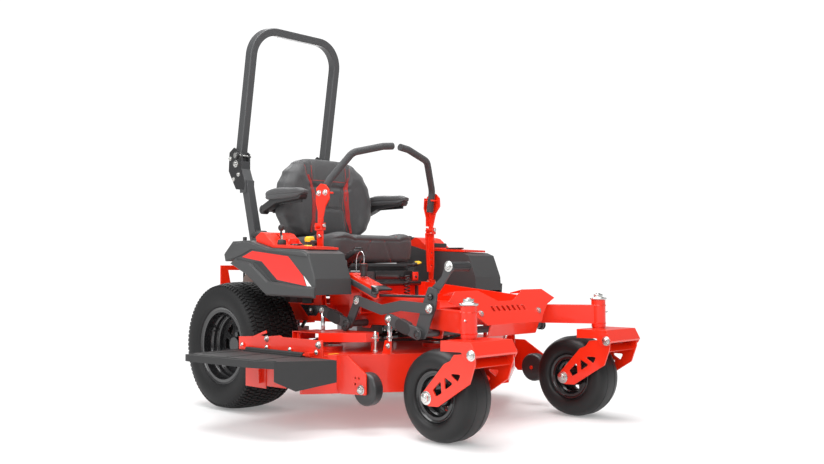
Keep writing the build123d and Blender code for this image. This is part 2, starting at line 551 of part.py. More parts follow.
def seat_backrest():
    """Plain backrest body, leaning against the seat frame."""
    half = [(235, 780), (278, 880), (281, 950), (232, 1070), (150, 1140)]
    slab = plate_y(half + [(-x, z) for x, z in reversed(half)], -72, 39.7, 12)
    slab -= plate_x([(-100, 770), (-60, 770), (-36, 1150), (-100, 1150)], -300, 300)
    return [slab]


def armrest():
    """Right armrest: steel arm that hangs on the seat frame's stub, and its pad."""
    x, y, z = -ARMREST_X, ARMREST_Y, ARMREST_Z
    arm = rod_x(17, x - 6, x + 6, y, z)
    arm += plate_x([(y + 8, z - 14), (y + 8, z + 10), (-20, 930), (-230, 930), (-230, 912), (-30, 912)],
                   x - 5, x + 5)
    arm += block(x - 18, x + 18, -230, -20, 927, 932)
    arm -= rod_x(9 + RUN, x - 20, x + 20, y, z)
    pad_side = [(-262, 948), (-248, 932.3), (0, 932.3), (20, 955), (-14, 986), (-170, 990), (-242, 976)]
    pad = plate_x(pad_side, x - 31, x + 31, 8)
    return [arm], [pad]


# ================================================================ control levers
def lever_mount():
    """Clevis on the right rail that carries a lever post's cross pin."""
    x, y = -LEVER_X, LEVER_Y
    base = block(x - 14, -RAIL_X - RAIL_W / 2, y - 30, y + 30, RAIL_TOP - 22, RAIL_TOP - 16)
    cheek = [(y - 30, RAIL_TOP - 17), (y + 30, RAIL_TOP - 17), (y + 14, LEVER_Z + 14), (y - 14, LEVER_Z + 14)]
    base += plate_x(cheek, x - 14, x - 8) + plate_x(cheek, x + 8, x + 14)
    return base + rod_x(7, x - 18, x + 18, y, LEVER_Z)


def lever_post():
    """Right lever post: rocks fore and aft on its base pin, with a fork and pin at the top."""
    x, y, z = -LEVER_X, LEVER_Y, LEVER_Z
    web = [(y + 12, z), (y - 12, z), (y - 20, 640), (y - 20, PARK_Z - 14), (y + 20, PARK_Z - 14), (y + 14, 640)]
    post = plate_x(web, x - 3, x + 3)
    post += plate_x([(y + 9, 600), (y + 20, PARK_Z - 14), (y + 14, PARK_Z - 14), (y + 3, 600)], x - 3, x + 20)
    post += rod_x(15, x - 7.5, x + 7.5, y, z)
    post -= rod_x(7 + RUN, x - 20, x + 20, y, z)
    for hole_z in (630, 660, 690):
        post -= rod_x(5, x - 10, x + 10, y - 6, hole_z)
    fork = block(x - 12, x + 12, y - 22, y + 22, PARK_Z - 20, PARK_Z - 14)
    fork += block(x - 12, x + 12, y - 22, y - 17, PARK_Z - 14, PARK_Z + 12)
    fork += block(x - 12, x + 12, y + 17, y + 22, PARK_Z - 14, PARK_Z + 12)
    return [post + fork + rod_y(6, y - 25, y + 25, x, PARK_Z)]


def lever_head():
    """Right lever head: clamp plate with a folded rear edge, two bolts and the park eye."""
    x, y = -LEVER_X, LEVER_Y
    face = [(y + 12, PARK_Z + 14), (y - 14, PARK_Z + 14), (y - 34, 880), (y - 62, 912), (y - 60, 952),
            (y - 36, 974), (y - 6, 980), (y + 22, 962), (y + 26, 905), (y + 12, 860)]
    head = plate_x(face, x - 3, x + 3, 3)
    flange = [(y + 11, 818), (y + 11, 860), (y + 25, 905), (y + 21, 955), (y + 16, 955), (y + 20, 905),
              (y + 5, 862), (y + 5, 818)]
    head += plate_x(flange, x - 3, x + 24)
    head += rod_y(12, y - 16.5, y + 16.5, x, PARK_Z) + block(x - 5, x + 5, y - 12, y + 10, PARK_Z, PARK_Z + 30)
    head -= rod_y(6 + RUN, y - 30, y + 30, x, PARK_Z)
    for dy in (3, -40):
        head += rod_x(4.5, x - 12, x + 38, y + dy, 940) + hex_x(18, x - 12, x - 2, y + dy, 940)
    return [head]


def lap_bar():
    """Right lap bar: bent steel tube under a thick foam grip, clamped to the lever head."""
    x = -LEVER_X + 3 + GRIP_R + 0.2
    path = FilletPolyline((x, LEVER_Y - 12, 886), (x, LEVER_Y - 28, 985), (-232, -478, 1117),
                          (-79, -507, 1155), (-24, -510, 1161), radius=60)
    start = Plane(path @ 0, z_dir=path % 0)
    bar = sweep(start * Circle(GRIP_R), path)
    for dy in (3, -40):
        bar -= rod_x(4.6, -LEVER_X - 20, -LEVER_X + 60, LEVER_Y + dy, 940)
    return [bar]


# ================================================================ power
def engine():
    """V-twin engine: crankcase, two cylinders with heads, crankshaft pulley and muffler."""
    case = rod_z(130, RAIL_TOP - 24, 600, 0, 210)
    solids = case
    for side in (-1, 1):
        barrel = Pos(side * 55, 210, 540) * Rot(0, side * 90, 0) * Pos(0, 0, 90) * Box(110, 120, 110)
        solids += barrel
    crank = rod_z(14, 300, RAIL_TOP - 23, 0, 210)
    pulley = spin_z([(13.9, 0), (60, 0), (52, 12), (60, 24), (13.9, 24)], 0, 210, 304)
    muffler = rod_x(58, -170, 170, 372, 545)
    muffler += block(-10, 10, 250, 340, 470, 500) + block(-40, 40, 330, 392, 438.2, 495)
    return [solids + crank + pulley, muffler]


def engine_cover():
    """Blower housing with a round intake screen and the air cleaner canister."""
    shroud = block(-150, 150, 80, 330, 606, 690) - block(-144, 144, 86, 324, 600, 684)
    shroud = fillet(shroud.edges().filter_by(Axis.Z), 3)
    shroud += rod_z(96, 689, 712, 0, 210)
    canister = rod_x(48, -95, 95, 120, 740)
    canister += block(-40, 40, 100, 140, 689, 705)
    for side in (-1, 1):
        shroud += block(side * 150, side * 144, 190, 230, 595.2, 607)
    return [shroud, canister]


def hydro_drives():
    """Two hydrostatic transaxles hung under the rails, each with its axle bore."""
    x0, x1, z = 150.0, REAR_TRACK / 2 - 126, REAR_TYRE_D / 2
    case = block(-x0, -x1 + 22, -75, 75, z - 62, z + 70)
    case += rod_x(42, -x1 + 23, -x1 + 0, 0, z)
    case += block(-265, -235, -55, 55, z + 69, RAIL_TOP - RAIL_H)
    case += rod_z(10, z + 60, z + 130, -185, -20)
    case += spin_z([(9, 0), (36, 0), (30, 9), (36, 18), (9, 18)], -185, -20, z + 96)
    case -= rod_x(SPINDLE_R + RUN, -REAR_TRACK / 2, -REAR_TRACK / 2 + 152, 0, z)
    return [case] + flip([case])


# ================================================================ deck
def deck_outline(inset=0.0):
    """Deck plan, with every wall moved inward by the inset."""
    half = DECK_HALF - inset
    front = -1000.0 + inset
    rear = DECK_REAR - inset
    return [(-half, rear), (-half, -660 + 0.5 * inset), (-170 + 0.4 * inset, front),
            (170 - 0.4 * inset, front), (half, -660 + 0.5 * inset), (half, rear)]


def deck_shell():
    """Welded deck: top, skirts, discharge opening, hanger lugs and wheel brackets."""
    shell = plate_z(deck_outline(), DECK_BOTTOM, DECK_TOP)
    shell -= plate_z(deck_outline(DECK_SKIN), DECK_BOTTOM - 1, DECK_TOP - DECK_SKIN)
    shell -= block(-DECK_HALF - 5, -DECK_HALF + 60, -650, -430, DECK_BOTTOM - 1, DECK_TOP - DECK_SKIN)
    for x, y in (OUTER_SPINDLE, (-OUTER_SPINDLE[0], OUTER_SPINDLE[1]), CENTRE_SPINDLE):
        shell += rod_z(58, DECK_TOP - 40, DECK_TOP + 16, x, y)
        shell -= rod_z(15 + RUN, DECK_TOP - 60, DECK_TOP + 40, x, y)
    for pivot in (FRONT_SHAFT, REAR_SHAFT):
        y, z = pivot[0] + LIFT_ARM[0], pivot[1] + LIFT_ARM[1]
        for side in (-1, 1):
            a = side * (LIFT_X + 5.7)
            near, far = min(a, a + side * PLATE), max(a, a + side * PLATE)
            foot = plate_x([(y - 8, DECK_TOP - 1), (y + 40, DECK_TOP - 1), (y + 24, LUG_TOP), (y - 8, LUG_TOP)],
                           near, far)
            rod = plate_x([(y - 8, DECK_TOP - 1), (y + 8, DECK_TOP - 1), (y + 8, z), (y - 8, z)], near, far)
            eye = plate_x([(y - 23, z - 14), (y + 23, z - 14), (y + 23, z + 14), (y - 23, z + 14)],
                          near, far, 9)
            slot = plate_x([(y - 15, z - 7), (y + 15, z - 7), (y + 15, z + 7), (y - 15, z + 7)],
                           near - 1, far + 1, 6.5)
            shell += foot + rod + eye - slot
    for side in (-1, 1):
        x0, x1 = sorted((side * BRACKET_X, side * (BRACKET_X + PLATE)))
        bracket = plate_x([(-742, DECK_TOP), (-800, DECK_TOP), (-905, 226), (-905, 150), (-760, 142),
                           (-742, 160)], x0, x1, 5)
        for y, z in ((-846, 208), (-866, 208), (-846, 186)):
            bracket -= rod_x(5, x0 - 1, x1 + 1, y, z)
        bracket += block(side * BRACKET_X, side * 500, -745, -735, 200, DECK_TOP)
        bracket += rod_x(8, side * (BRACKET_X + 1), side * 482, ROLLER_Y, ROLLER_Z)
        head = sorted((side * (BRACKET_X + PLATE), side * (BRACKET_X + PLATE + 8)))
        bracket += hex_x(26, head[0], head[1], ROLLER_Y, ROLLER_Z)
        shell += bracket
    return [shell]


def chute():
    """Rubber discharge chute: flat top, turned outer lip and a deep front flap."""
    z = 285.0
    plan = [(-664, -246), (RIGHT_EDGE + 4, -278), (RIGHT_EDGE, -300), (-893, -657), (-856, -764),
            (-664, -880)]
    top = plate_z(plan, z - 6, z)
    lip = [(RIGHT_EDGE + 4, -278), (RIGHT_EDGE, -300), (-893, -657), (-856, -764), (-850, -761),
           (-887, -655), (RIGHT_EDGE + 6, -299), (RIGHT_EDGE + 9, -280)]
    body = top + plate_z(lip, z - 26, z - 1)
    flap = [(-856, z - 1), (-856, 214), (-790, 178), (-664, 206), (-664, z - 1)]
    run = Vector(-664 + 856, -880 + 764, 0)
    plane = Plane((-856, -764, 0), x_dir=run.normalized(), z_dir=Vector(run.Y, -run.X, 0).normalized())
    scale = run.length / 192.0
    face = plane * make_face(Polyline(*[((u + 856) * scale, v) for u, v in flap], close=True))
    body += extrude(face, amount=6, dir=Vector(-run.Y, run.X, 0).normalized())
    knuckle = rod_y(9, -700, -330, -664 - 9, z + 8)
    body += knuckle + block(-690, -666, -700, -330, z - 3, z + 6)
    body -= rod_y(5 + RUN, -720, -310, -673, z + 8)
    return [body]


def chute_hinge():
    """Chute bracket bolted to the deck edge, with raised rear ears and the hinge rod."""
    x = -DECK_HALF
    face = [(-250, 288.3), (-250, 338), (-350, 344), (-436, 371), (-440, 360), (-400, 350), (-430, 346),
            (-530, 356), (-545, 350), (-790, 350), (-790, 288.3)]
    plate = plate_x(face, x - 5, x)
    plate += block(x - 5, x + 24, -790, -250, DECK_TOP + 0.2, DECK_TOP + 5)
    for y0, y1 in ((-740, -712), (-318, -290)):
        plate += block(x - 26, x - 4, y0, y1, 290, 302)
    plate += rod_y(5, -740, -290, -673, 293)
    for y in (-280, -450, -600, -760):
        plate += rod_x(8, x - 10, x - 4, y, 306)
    return [plate]


def spindle(x, y):
    """Blade spindle: shaft with its pulley, and the blade bolted under it."""
    shaft = rod_z(15, BLADE_Z + 4.2, PULLEY_Z + 30, x, y)
    shaft += spin_z([(14.9, 0), (PULLEY_R, 0), (PULLEY_R - 9, 11), (PULLEY_R, 22), (14.9, 22)], x, y, PULLEY_Z - 11)
    blade = block(x - BLADE_R, x + BLADE_R, y - 31, y + 31, BLADE_Z - 3, BLADE_Z + 4)
    blade -= rod_z(8.1, BLADE_Z - 20, BLADE_Z + 20, x, y)
    bolt = rod_z(8, BLADE_Z - 3.2, BLADE_Z + 4.1, x, y) + hex_z(26, BLADE_Z - 16, BLADE_Z - 3.2, x, y)
    return [shaft, blade, bolt]


def deck_belt():
    """Drive belt round the three spindle pulleys, as a closed loop."""
    r = PULLEY_R + 0.8
    a = (-OUTER_SPINDLE[0], OUTER_SPINDLE[1])
    b, c = OUTER_SPINDLE, CENTRE_SPINDLE
    loop = hull_loop([a, b, c], r + 8)
    core = hull_loop([a, b, c], r)
    return [plate_face(loop, core, PULLEY_Z - 5, PULLEY_Z + 5)]


def hull_loop(centres, r):
    """Outline round equal circles at the given centres."""
    circles = [Pos(x, y) * Circle(r) for x, y in centres]
    return make_hull([edge for circle in circles for edge in circle.edges()])


def plate_face(outer, inner, z0, z1):
    """Flat ring between two outlines."""
    return extrude(Pos(0, 0, z0) * (outer - inner), amount=z1 - z0, dir=(0, 0, 1))


def belt_covers():
    """Two sheet covers over the outer pulleys, open towards the deck's sides, each on two posts."""
    low, skin = COVER_TOP - COVER_H, 3.0
    plan = [(-330, -486), (-392, -486), (-392, -430), (-520, -430), (-520, -600), (-400, -745), (-330, -745)]
    room = [(-324, -489), (-395, -489), (-395, -433), (-530, -433), (-530, -596), (-516, -600),
            (-398, -741), (-324, -741)]
    cover = plate_z(plan, low, COVER_TOP) - plate_z(room, low - 1, COVER_TOP - skin)
    cover -= block(-401, -320, -741, -420, low - 1, COVER_TOP - skin)
    for x, y in ((-498, -447), (-346, -728)):
        cover += rod_z(9, DECK_TOP + SEAT_GAP, COVER_TOP - 1, x, y)
    return [cover] + flip([cover])


def roller():
    """Right anti-scalp wheel on its bolt."""
    x0, x1 = -BRACKET_X + 3, -486.0
    wheel = fillet(rod_x(ROLLER_R, x0, x1, ROLLER_Y, ROLLER_Z).edges(), 14)
    return [wheel - rod_x(8 + RUN, x0 - 5, x1 + 5, ROLLER_Y, ROLLER_Z)]


# ================================================================ deck lift
def lift_shaft(shaft):
    """Cross shaft with a hanger arm at each end."""
    y, z = shaft
    x0 = LIFT_X + 5.2
    solid = rod_x(SHAFT_R, -x0, x0, y, z)
    tip = (y + LIFT_ARM[0], z + LIFT_ARM[1])
    for side in (-1, 1):
        a, b = side * (LIFT_X - 1), side * (LIFT_X + 5.2)
        solid += bar_x((y, z), tip, 40, min(a, b), max(a, b))
        end = side * (LIFT_X + 5.7 + PLATE + 6)
        solid += rod_x(6, min(a, end), max(a, end), *tip)
        far = side * (LIFT_X + 5.7 + PLATE + 0.5)
        solid += hex_x(18, min(far, end), max(far, end), *tip)
    return solid


def lift_pedal():
    """Front lift shaft with the foot pedal lever on the right."""
    y, z = FRONT_SHAFT
    x0, x1 = -(LIFT_X - 1), -(LIFT_X - 9)
    link, rod = (y + LINK_ARM[0], z + LINK_ARM[1]), (y + ROD_ARM[0], z + ROD_ARM[1])
    lower = [(y - 22, z - 18), (y + 24, z - 18), (y + 22, z + 20), (rod[0] + 36, rod[1] - 10),
             (rod[0] + 12, rod[1] + 38), (rod[0] - 30, rod[1] + 26), (link[0] - 24, link[1])]
    solid = lift_shaft(FRONT_SHAFT) + plate_x(lower, x0, x1, 6)
    upper = [(rod[0] + 10, rod[1] + 34), (rod[0] - 30, rod[1] + 22), (rod[0] - 98, rod[1] + 100),
             (rod[0] - 92, rod[1] + 122), (rod[0] - 66, rod[1] + 128), (rod[0] - 42, rod[1] + 74)]
    solid += plate_x(upper, x0 + 12, x0 + 20, 5)
    solid += plate_x([(rod[0] + 10, rod[1] + 36), (rod[0] - 28, rod[1] + 24), (rod[0] - 24, rod[1] + 12),
                      (rod[0] + 12, rod[1] + 26)], x0, x0 + 20)
    peg = (rod[0] - 78, rod[1] + 112)
    solid += rod_x(14, x0 + 19, x0 + 116, *peg) + hex_x(24, x0 + 4, x0 + 12, *peg)
    solid += rod_x(6, x0 - 14, x1 + 4, *link) + rod_x(6, x0 - 3, x1 + 14, *rod)
    return [solid]


def rear_lift_arms():
    """Rear lift shaft with its hanger arms and the crank for the link bar."""
    y, z = REAR_SHAFT
    x0, x1 = -(LIFT_X - 1), -(LIFT_X - 9)
    link = (y + LINK_ARM[0], z + LINK_ARM[1])
    solid = lift_shaft(REAR_SHAFT) + bar_x((y, z), link, 40, x0, x1)
    solid += rod_x(6, x0 - 14, x1, *link)
    return [solid]


def lift_link():
    """Cranked bar that ties the pedal lever to the rear crank."""
    fy, fz = FRONT_SHAFT[0] + LINK_ARM[0], FRONT_SHAFT[1] + LINK_ARM[1]
    ry, rz = REAR_SHAFT[0] + LINK_ARM[0], REAR_SHAFT[1] + LINK_ARM[1]
    x1 = -(LIFT_X - 1) - SIDE_GAP
    x0 = x1 - PLATE
    knees = [(ry, rz), (ry - 145, rz - 34), (fy + 150, fz + 8), (fy, fz)]
    upper = [(a, b + LINK_HALF) for a, b in knees]
    lower = [(a, b - LINK_HALF) for a, b in reversed(knees)]
    bar = plate_x(upper + lower, x0, x1)
    bar += rod_x(LINK_HALF, x0, x1, fy, fz) + rod_x(LINK_HALF, x0, x1, ry, rz)
    for y, z in ((fy, fz), (ry, rz)):
        bar -= rod_x(6 + RUN, x0 - 1, x1 + 1, y, z)
    return [bar]


def depth_rod():
    """Rod from the pedal lever into the height gauge."""
    y, z = FRONT_SHAFT[0] + ROD_ARM[0], FRONT_SHAFT[1] + ROD_ARM[1]
    x = -(LIFT_X - 9) + 6
    rod = rod_y(5, y + 12, y + 360, x, z) + rod_x(15, x - 5.5, x + 6, y, z)
    rod -= rod_x(6 + RUN, x - 20, x + 20, y, z)
    return [rod]


# ================================================================ small controls
def pto_knob():
    """Blade switch: pull knob on its stem."""
    stem = rod_z(5, PTO_REST - 8, PTO_REST + 20, PTO_X, PTO_Y)
    return [stem + rod_z(17, PTO_REST + 6, PTO_REST + 22, PTO_X, PTO_Y)]


def throttle_lever():
    """Throttle lever: flat blade on its pin with a round knob."""
    x, y, z = THROTTLE_X, THROTTLE_Y, THROTTLE_Z
    lever = rod_x(7, x - 3, x + 3, y, z) + block(x - 2.5, x + 2.5, y - 4, y + 4, z, z + 62)
    lever += rod_x(11, x - 7, x + 7, y, z + 66)
    return [lever - rod_x(2.5 + RUN, x - 8, x + 8, y, z)]


def brake_lever():
    """Parking brake lever beside the seat base, with a ribbed grip."""
    y, z = BRAKE_Y, BRAKE_Z
    tip = (y - 96, z + 66)
    arm = bar_x((y, z), tip, 26, -BRAKE_X - 3, -BRAKE_X + 3) + rod_x(16, -BRAKE_X - 6, -BRAKE_X + 8, y, z)
    grip = bar_x((tip[0] + 46, tip[1] - 32), (tip[0] - 70, tip[1] + 46), 14, -BRAKE_X - 42, -BRAKE_X - 2)
    arm -= rod_x(8 + RUN, -BRAKE_X - 10, -BRAKE_X + 12, y, z)
    return [arm + grip]


def build():
    """Make every node."""
    rim, tyre = rear_wheel()
    pair("rear_rim", rim)
    pair("rear_tyre", tyre)
    rim, tyre = caster_wheel()
    pair("caster_rim", rim)
    pair("caster_tyre", tyre)
    pair("caster_head", caster_head())
    pair("fork_arm", fork_arm())
    pair("frame_rail", rail())
    keep("frame_crossmembers", *crossmembers())
    keep("nose_panel", *nose_panel())
    keep("floor_pan", *floor_pan())
    keep("rear_bumper", *rear_bumper())
    pair("rops_post", rops_post())
    keep("rops_hoop", *rops_hoop())
    keep("rops_pins", *rops_pins())
    pair("tank", tank())
    keep("console_panels", *(console() + flip(console())))
    keep("seat_base", *seat_base())
    keep("height_plate", *height_plate())
    keep("seat_pan", *seat_pan())
    keep("seat_cushion", *seat_cushion())
    keep("seat_backrest", *seat_backrest())
    arm, pad = armrest()
    pair("armrest", arm)
    pair("armrest_pad", pad)
    pair("lever_post", lever_post())
    pair("lever_head", lever_head())
    pair("lap_bar", lap_bar())
    keep("engine", *engine())
    keep("engine_cover", *engine_cover())
    keep("hydro_drives", *hydro_drives())
    keep("deck_shell", *deck_shell())
    keep("discharge_chute", *chute())
    keep("chute_hinge", *chute_hinge())
    keep("right_spindle", *spindle(-OUTER_SPINDLE[0], OUTER_SPINDLE[1]))
    keep("left_spindle", *spindle(*OUTER_SPINDLE))
    keep("centre_spindle", *spindle(*CENTRE_SPINDLE))
    keep("deck_belt", *deck_belt())
    keep("belt_covers", *belt_covers())
    pair("roller", roller())
    keep("lift_pedal", *lift_pedal())
    keep("rear_lift_arms", *rear_lift_arms())
    keep("lift_link", *lift_link())
    keep("depth_rod", *depth_rod())
    keep("pto_knob", *pto_knob())
    keep("throttle_lever", *throttle_lever())
    keep("brake_lever", *brake_lever())


def write():
    """Write one STEP file per node, moved so that the origin is the bottom centre."""
    os.makedirs("parts", exist_ok=True)
    for name, shapes in PARTS.items():
        solids = []
        for shape in shapes:
            solids += list((Pos(-ORIGIN.X, -ORIGIN.Y, -ORIGIN.Z) * shape).solids())
        export_step(Compound(children=solids), f"parts/{name}.step")


if __name__ == "__main__":
    build()
    write()
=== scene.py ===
"""Zero turn mower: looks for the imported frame. Lengths are millimetres in the maker's
frame (ground at 0, rear axle above y = 0, front towards -Y) until at() turns them into metres."""
import bpy
import math
from mathutils import Euler, Matrix, Vector


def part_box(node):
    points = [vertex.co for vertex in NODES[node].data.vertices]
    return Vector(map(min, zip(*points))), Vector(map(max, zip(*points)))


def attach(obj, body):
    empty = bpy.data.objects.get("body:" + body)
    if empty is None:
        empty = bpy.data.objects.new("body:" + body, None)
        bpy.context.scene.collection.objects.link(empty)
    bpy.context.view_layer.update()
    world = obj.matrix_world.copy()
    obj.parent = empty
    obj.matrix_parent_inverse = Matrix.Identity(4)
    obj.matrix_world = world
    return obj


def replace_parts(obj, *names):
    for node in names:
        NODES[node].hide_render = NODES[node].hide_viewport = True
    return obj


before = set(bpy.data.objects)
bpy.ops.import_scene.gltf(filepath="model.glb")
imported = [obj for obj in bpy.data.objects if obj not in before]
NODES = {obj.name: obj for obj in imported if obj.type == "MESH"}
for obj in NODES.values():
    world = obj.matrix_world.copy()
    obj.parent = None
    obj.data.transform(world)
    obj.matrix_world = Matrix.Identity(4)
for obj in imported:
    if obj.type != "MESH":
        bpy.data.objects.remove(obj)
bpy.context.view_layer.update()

LEFT_RIM, RIGHT_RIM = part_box("left_rear_rim"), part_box("right_rear_rim")
DATUM = Vector(((LEFT_RIM[1].x + RIGHT_RIM[0].x) / 2, (LEFT_RIM[0].y + LEFT_RIM[1].y) / 2, 0))
UP, LEFT = Vector((0, 0, 1)), Vector((1, 0, 0))


def at(x, y, z):
    """A point of the maker's frame, in metres."""
    return DATUM + Vector((x, y, z)) / 1000


# ================================================================ modelling helpers
def only(obj):
    """Select one object and make it active, in object mode."""
    if bpy.context.mode != "OBJECT":
        bpy.ops.object.mode_set(mode="OBJECT")
    bpy.ops.object.select_all(action="DESELECT")
    obj.select_set(True)
    bpy.context.view_layer.objects.active = obj
    return obj


def fresh(name, finish):
    """The object that was just added, named and given its finish."""
    obj = bpy.context.object
    obj.name = obj.data.name = name
    obj.data.materials.clear()
    obj.data.materials.append(finish)
    return obj


def settle(obj):
    """Put an object's place into its mesh."""
    only(obj)
    bpy.ops.object.transform_apply(location=True, rotation=True, scale=True)
    return obj


def apply_modifier(obj, kind, **values):
    """Add one modifier and apply it."""
    only(obj)
    modifier = obj.modifiers.new(kind.title(), kind)
    for key, value in values.items():
        setattr(modifier, key, value)
    bpy.ops.object.modifier_apply(modifier=modifier.name)
    return obj


def soften(obj, width, segments=2, angle=30):
    """Round an object's hard edges, in millimetres."""
    apply_modifier(obj, "BEVEL", width=width / 1000, segments=segments, limit_method="ANGLE",
                   angle_limit=math.radians(angle), harden_normals=False)
    return smooth(obj)


def smooth(obj, angle=40):
    only(obj)
    bpy.ops.object.shade_smooth_by_angle(angle=math.radians(angle))
    return obj


def outward(obj):
    """Merge doubles and turn every face outward."""
    only(obj)
    bpy.ops.object.mode_set(mode="EDIT")
    bpy.ops.mesh.select_all(action="SELECT")
    bpy.ops.mesh.remove_doubles(threshold=0.00002)
    bpy.ops.mesh.normals_make_consistent(inside=False)
    bpy.ops.object.mode_set(mode="OBJECT")
    return obj


def ring_of(points, finish, name, fill="NGON"):
    """Closed outline through the given points, in metres."""
    bpy.ops.mesh.primitive_circle_add(vertices=len(points), fill_type=fill)
    obj = fresh(name, finish)
    for vertex, point in zip(obj.data.vertices, points):
        vertex.co = point
    return obj


def slab(name, points, push, finish, bevel=1.0, segments=2):
    """Plate or block: an outline pushed along a vector (mm), its edges rounded."""
    obj = ring_of([at(*p) for p in points], finish, name)
    only(obj)
    bpy.ops.object.mode_set(mode="EDIT")
    bpy.ops.mesh.select_all(action="SELECT")
    bpy.ops.mesh.extrude_region_move(TRANSFORM_OT_translate={"value": Vector(push) / 1000})
    bpy.ops.object.mode_set(mode="OBJECT")
    outward(obj)
    return soften(obj, bevel, segments) if bevel else smooth(obj)


def brick(name, low, high, finish, bevel=1.0, segments=2):
    """Block between two corners, its edges rounded."""
    (x0, y0, z0), (x1, y1, z1) = low, high
    return slab(name, [(x0, y0, z0), (x1, y0, z0), (x1, y1, z0), (x0, y1, z0)], (0, 0, z1 - z0),
                finish, bevel, segments)


def across(name, outline, x0, x1, finish, bevel=1.0, segments=2):
    """Plate across the machine from (y, z) points."""
    return slab(name, [(x0, y, z) for y, z in outline], (x1 - x0, 0, 0), finish, bevel, segments)


def turned(name, section, centre, axis, finish, steps=96, angle=35):
    """Turned piece: a (along, radius) section in mm, spun about an axis through a point."""
    axis = Vector(axis).normalized()
    out = axis.orthogonal().normalized()
    middle = at(*centre)
    points = [middle + axis * (u / 1000) + out * (r / 1000) for u, r in section]
    obj = ring_of(points, finish, name, "NOTHING")
    only(obj)
    bpy.ops.object.mode_set(mode="EDIT")
    bpy.ops.mesh.select_all(action="SELECT")
    bpy.ops.mesh.spin(steps=steps, angle=2 * math.pi, center=middle, axis=axis)
    bpy.ops.object.mode_set(mode="OBJECT")
    outward(obj)
    return smooth(obj, angle)


def rod(name, start, end, radius, finish, bevel=0.8, vertices=32):
    """Round bar between two points."""
    a, b = at(*start), at(*end)
    turn = (b - a).to_track_quat("Z", "Y").to_euler()
    bpy.ops.mesh.primitive_cylinder_add(vertices=vertices, radius=radius / 1000, depth=(b - a).length,
                                        location=(a + b) / 2, rotation=turn)
    obj = settle(fresh(name, finish))
    return soften(obj, bevel) if bevel else smooth(obj)


def pipe(name, points, radius, finish, smoothness=12, sides=6):
    """Round tube, hose or wire along a smooth line through the points."""
    bpy.ops.curve.primitive_nurbs_path_add()
    curve = bpy.context.object
    data = curve.data
    data.splines.clear()
    spline = data.splines.new("NURBS")
    spline.points.add(len(points) - 1)
    for point, place in zip(spline.points, points):
        point.co = (*at(*place), 1)
    spline.order_u = 3
    spline.use_endpoint_u = True
    spline.resolution_u = smoothness
    data.dimensions = "3D"
    data.bevel_depth = radius / 1000
    data.bevel_resolution = sides
    data.use_fill_caps = True
    only(curve)
    bpy.ops.object.convert(target="MESH")
    obj = settle(fresh(name, finish))
    return smooth(outward(obj), 50)


def join(name, *pieces):
    """Several pieces as one, each keeping its own finish."""
    only(pieces[0])
    for piece in pieces[1:]:
        piece.select_set(True)
    bpy.ops.object.join()
    obj = bpy.context.object
    obj.name = obj.data.name = name
    return obj


def copied(obj, name, matrix):
    """A copy with its own mesh, moved by a matrix."""
    only(obj)
    bpy.ops.object.duplicate(linked=False)
    twin = bpy.context.object
    twin.name = twin.data.name = name
    twin.data.transform(matrix)
    twin.data.update()
    if matrix.determinant() < 0:
        twin.data.flip_normals()
    return twin


MIRROR = (Matrix.Translation((DATUM.x, 0, 0)) @ Matrix.Scale(-1, 4, LEFT)
          @ Matrix.Translation((-DATUM.x, 0, 0)))


def to_body(obj, body):
    """Fasten a piece to a body."""
    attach(obj, body)
    return obj


def both(obj, body):
    """A right-hand piece and its mirror image; {side} in the body's name is filled in."""
    base = obj.name
    obj.name = obj.data.name = "right_" + base
    twin = copied(obj, "left_" + base, MIRROR)
    to_body(obj, body.format(side="right"))
    to_body(twin, body.format(side="left"))
    return obj, twin


def on_one(name, body, slot, *pieces):
    """Pieces joined and fastened to one body."""
    return to_body(join(name, *pieces), body)


def on_both(name, body, slot, *pieces):
    """Pieces joined and fastened on the right, with their mirror image on the left."""
    return both(join(name, *pieces), body)


# ================================================================ shader groups
def feed(tree, socket, value):
    """Give an input its value, or link it to another node's output; three numbers are a colour."""
    if isinstance(value, bpy.types.NodeSocket):
        tree.links.new(value, socket)
    else:
        socket.default_value = (*value, 1) if isinstance(value, tuple) and len(value) == 3 else value


def node(tree, kind, group=None, **inputs):
    """A shader node; inputs are named with _ for a space and hold a value or an output."""
    made = tree.nodes.new("ShaderNode" + kind)
    if group:
        made.node_tree = group
    for label, value in inputs.items():
        feed(tree, made.inputs[label.replace("_", " ")], value)
    return made


def new_group(name, inputs, outputs):
    """Empty shader group with named sockets, and its two end nodes."""
    tree = bpy.data.node_groups.new(name, "ShaderNodeTree")
    for label, kind, value in inputs:
        socket = tree.interface.new_socket(label, in_out="INPUT", socket_type="NodeSocket" + kind)
        if value is not None:
            socket.default_value = value
    for label, kind in outputs:
        tree.interface.new_socket(label, in_out="OUTPUT", socket_type="NodeSocket" + kind)
    return tree, tree.nodes.new("NodeGroupInput").outputs, tree.nodes.new("NodeGroupOutput").inputs


def noise(tree, place, scale, detail):
    return node(tree, "TexNoise", Vector=place, Scale=scale, Detail=detail, Roughness=0.55).outputs["Fac"]


def maths(tree, operation, a, b, clamp=False):
    made = tree.nodes.new("ShaderNodeMath")
    made.operation, made.use_clamp = operation, clamp
    feed(tree, made.inputs[0], a)
    feed(tree, made.inputs[1], b)
    return made.outputs[0]


def blend_colour(tree, factor, a, b, mode="MIX"):
    made = tree.nodes.new("ShaderNodeMix")
    made.data_type, made.blend_type = "RGBA", mode
    for index, value in ((0, factor), (6, a), (7, b)):
        feed(tree, made.inputs[index], value)
    return made.outputs[2]


def shaded(tree, colour, level):
    """A colour made darker or lighter by a grey level."""
    grey = node(tree, "CombineXYZ", X=level, Y=level, Z=level)
    return blend_colour(tree, 1.0, colour, grey.outputs[0], "MULTIPLY")


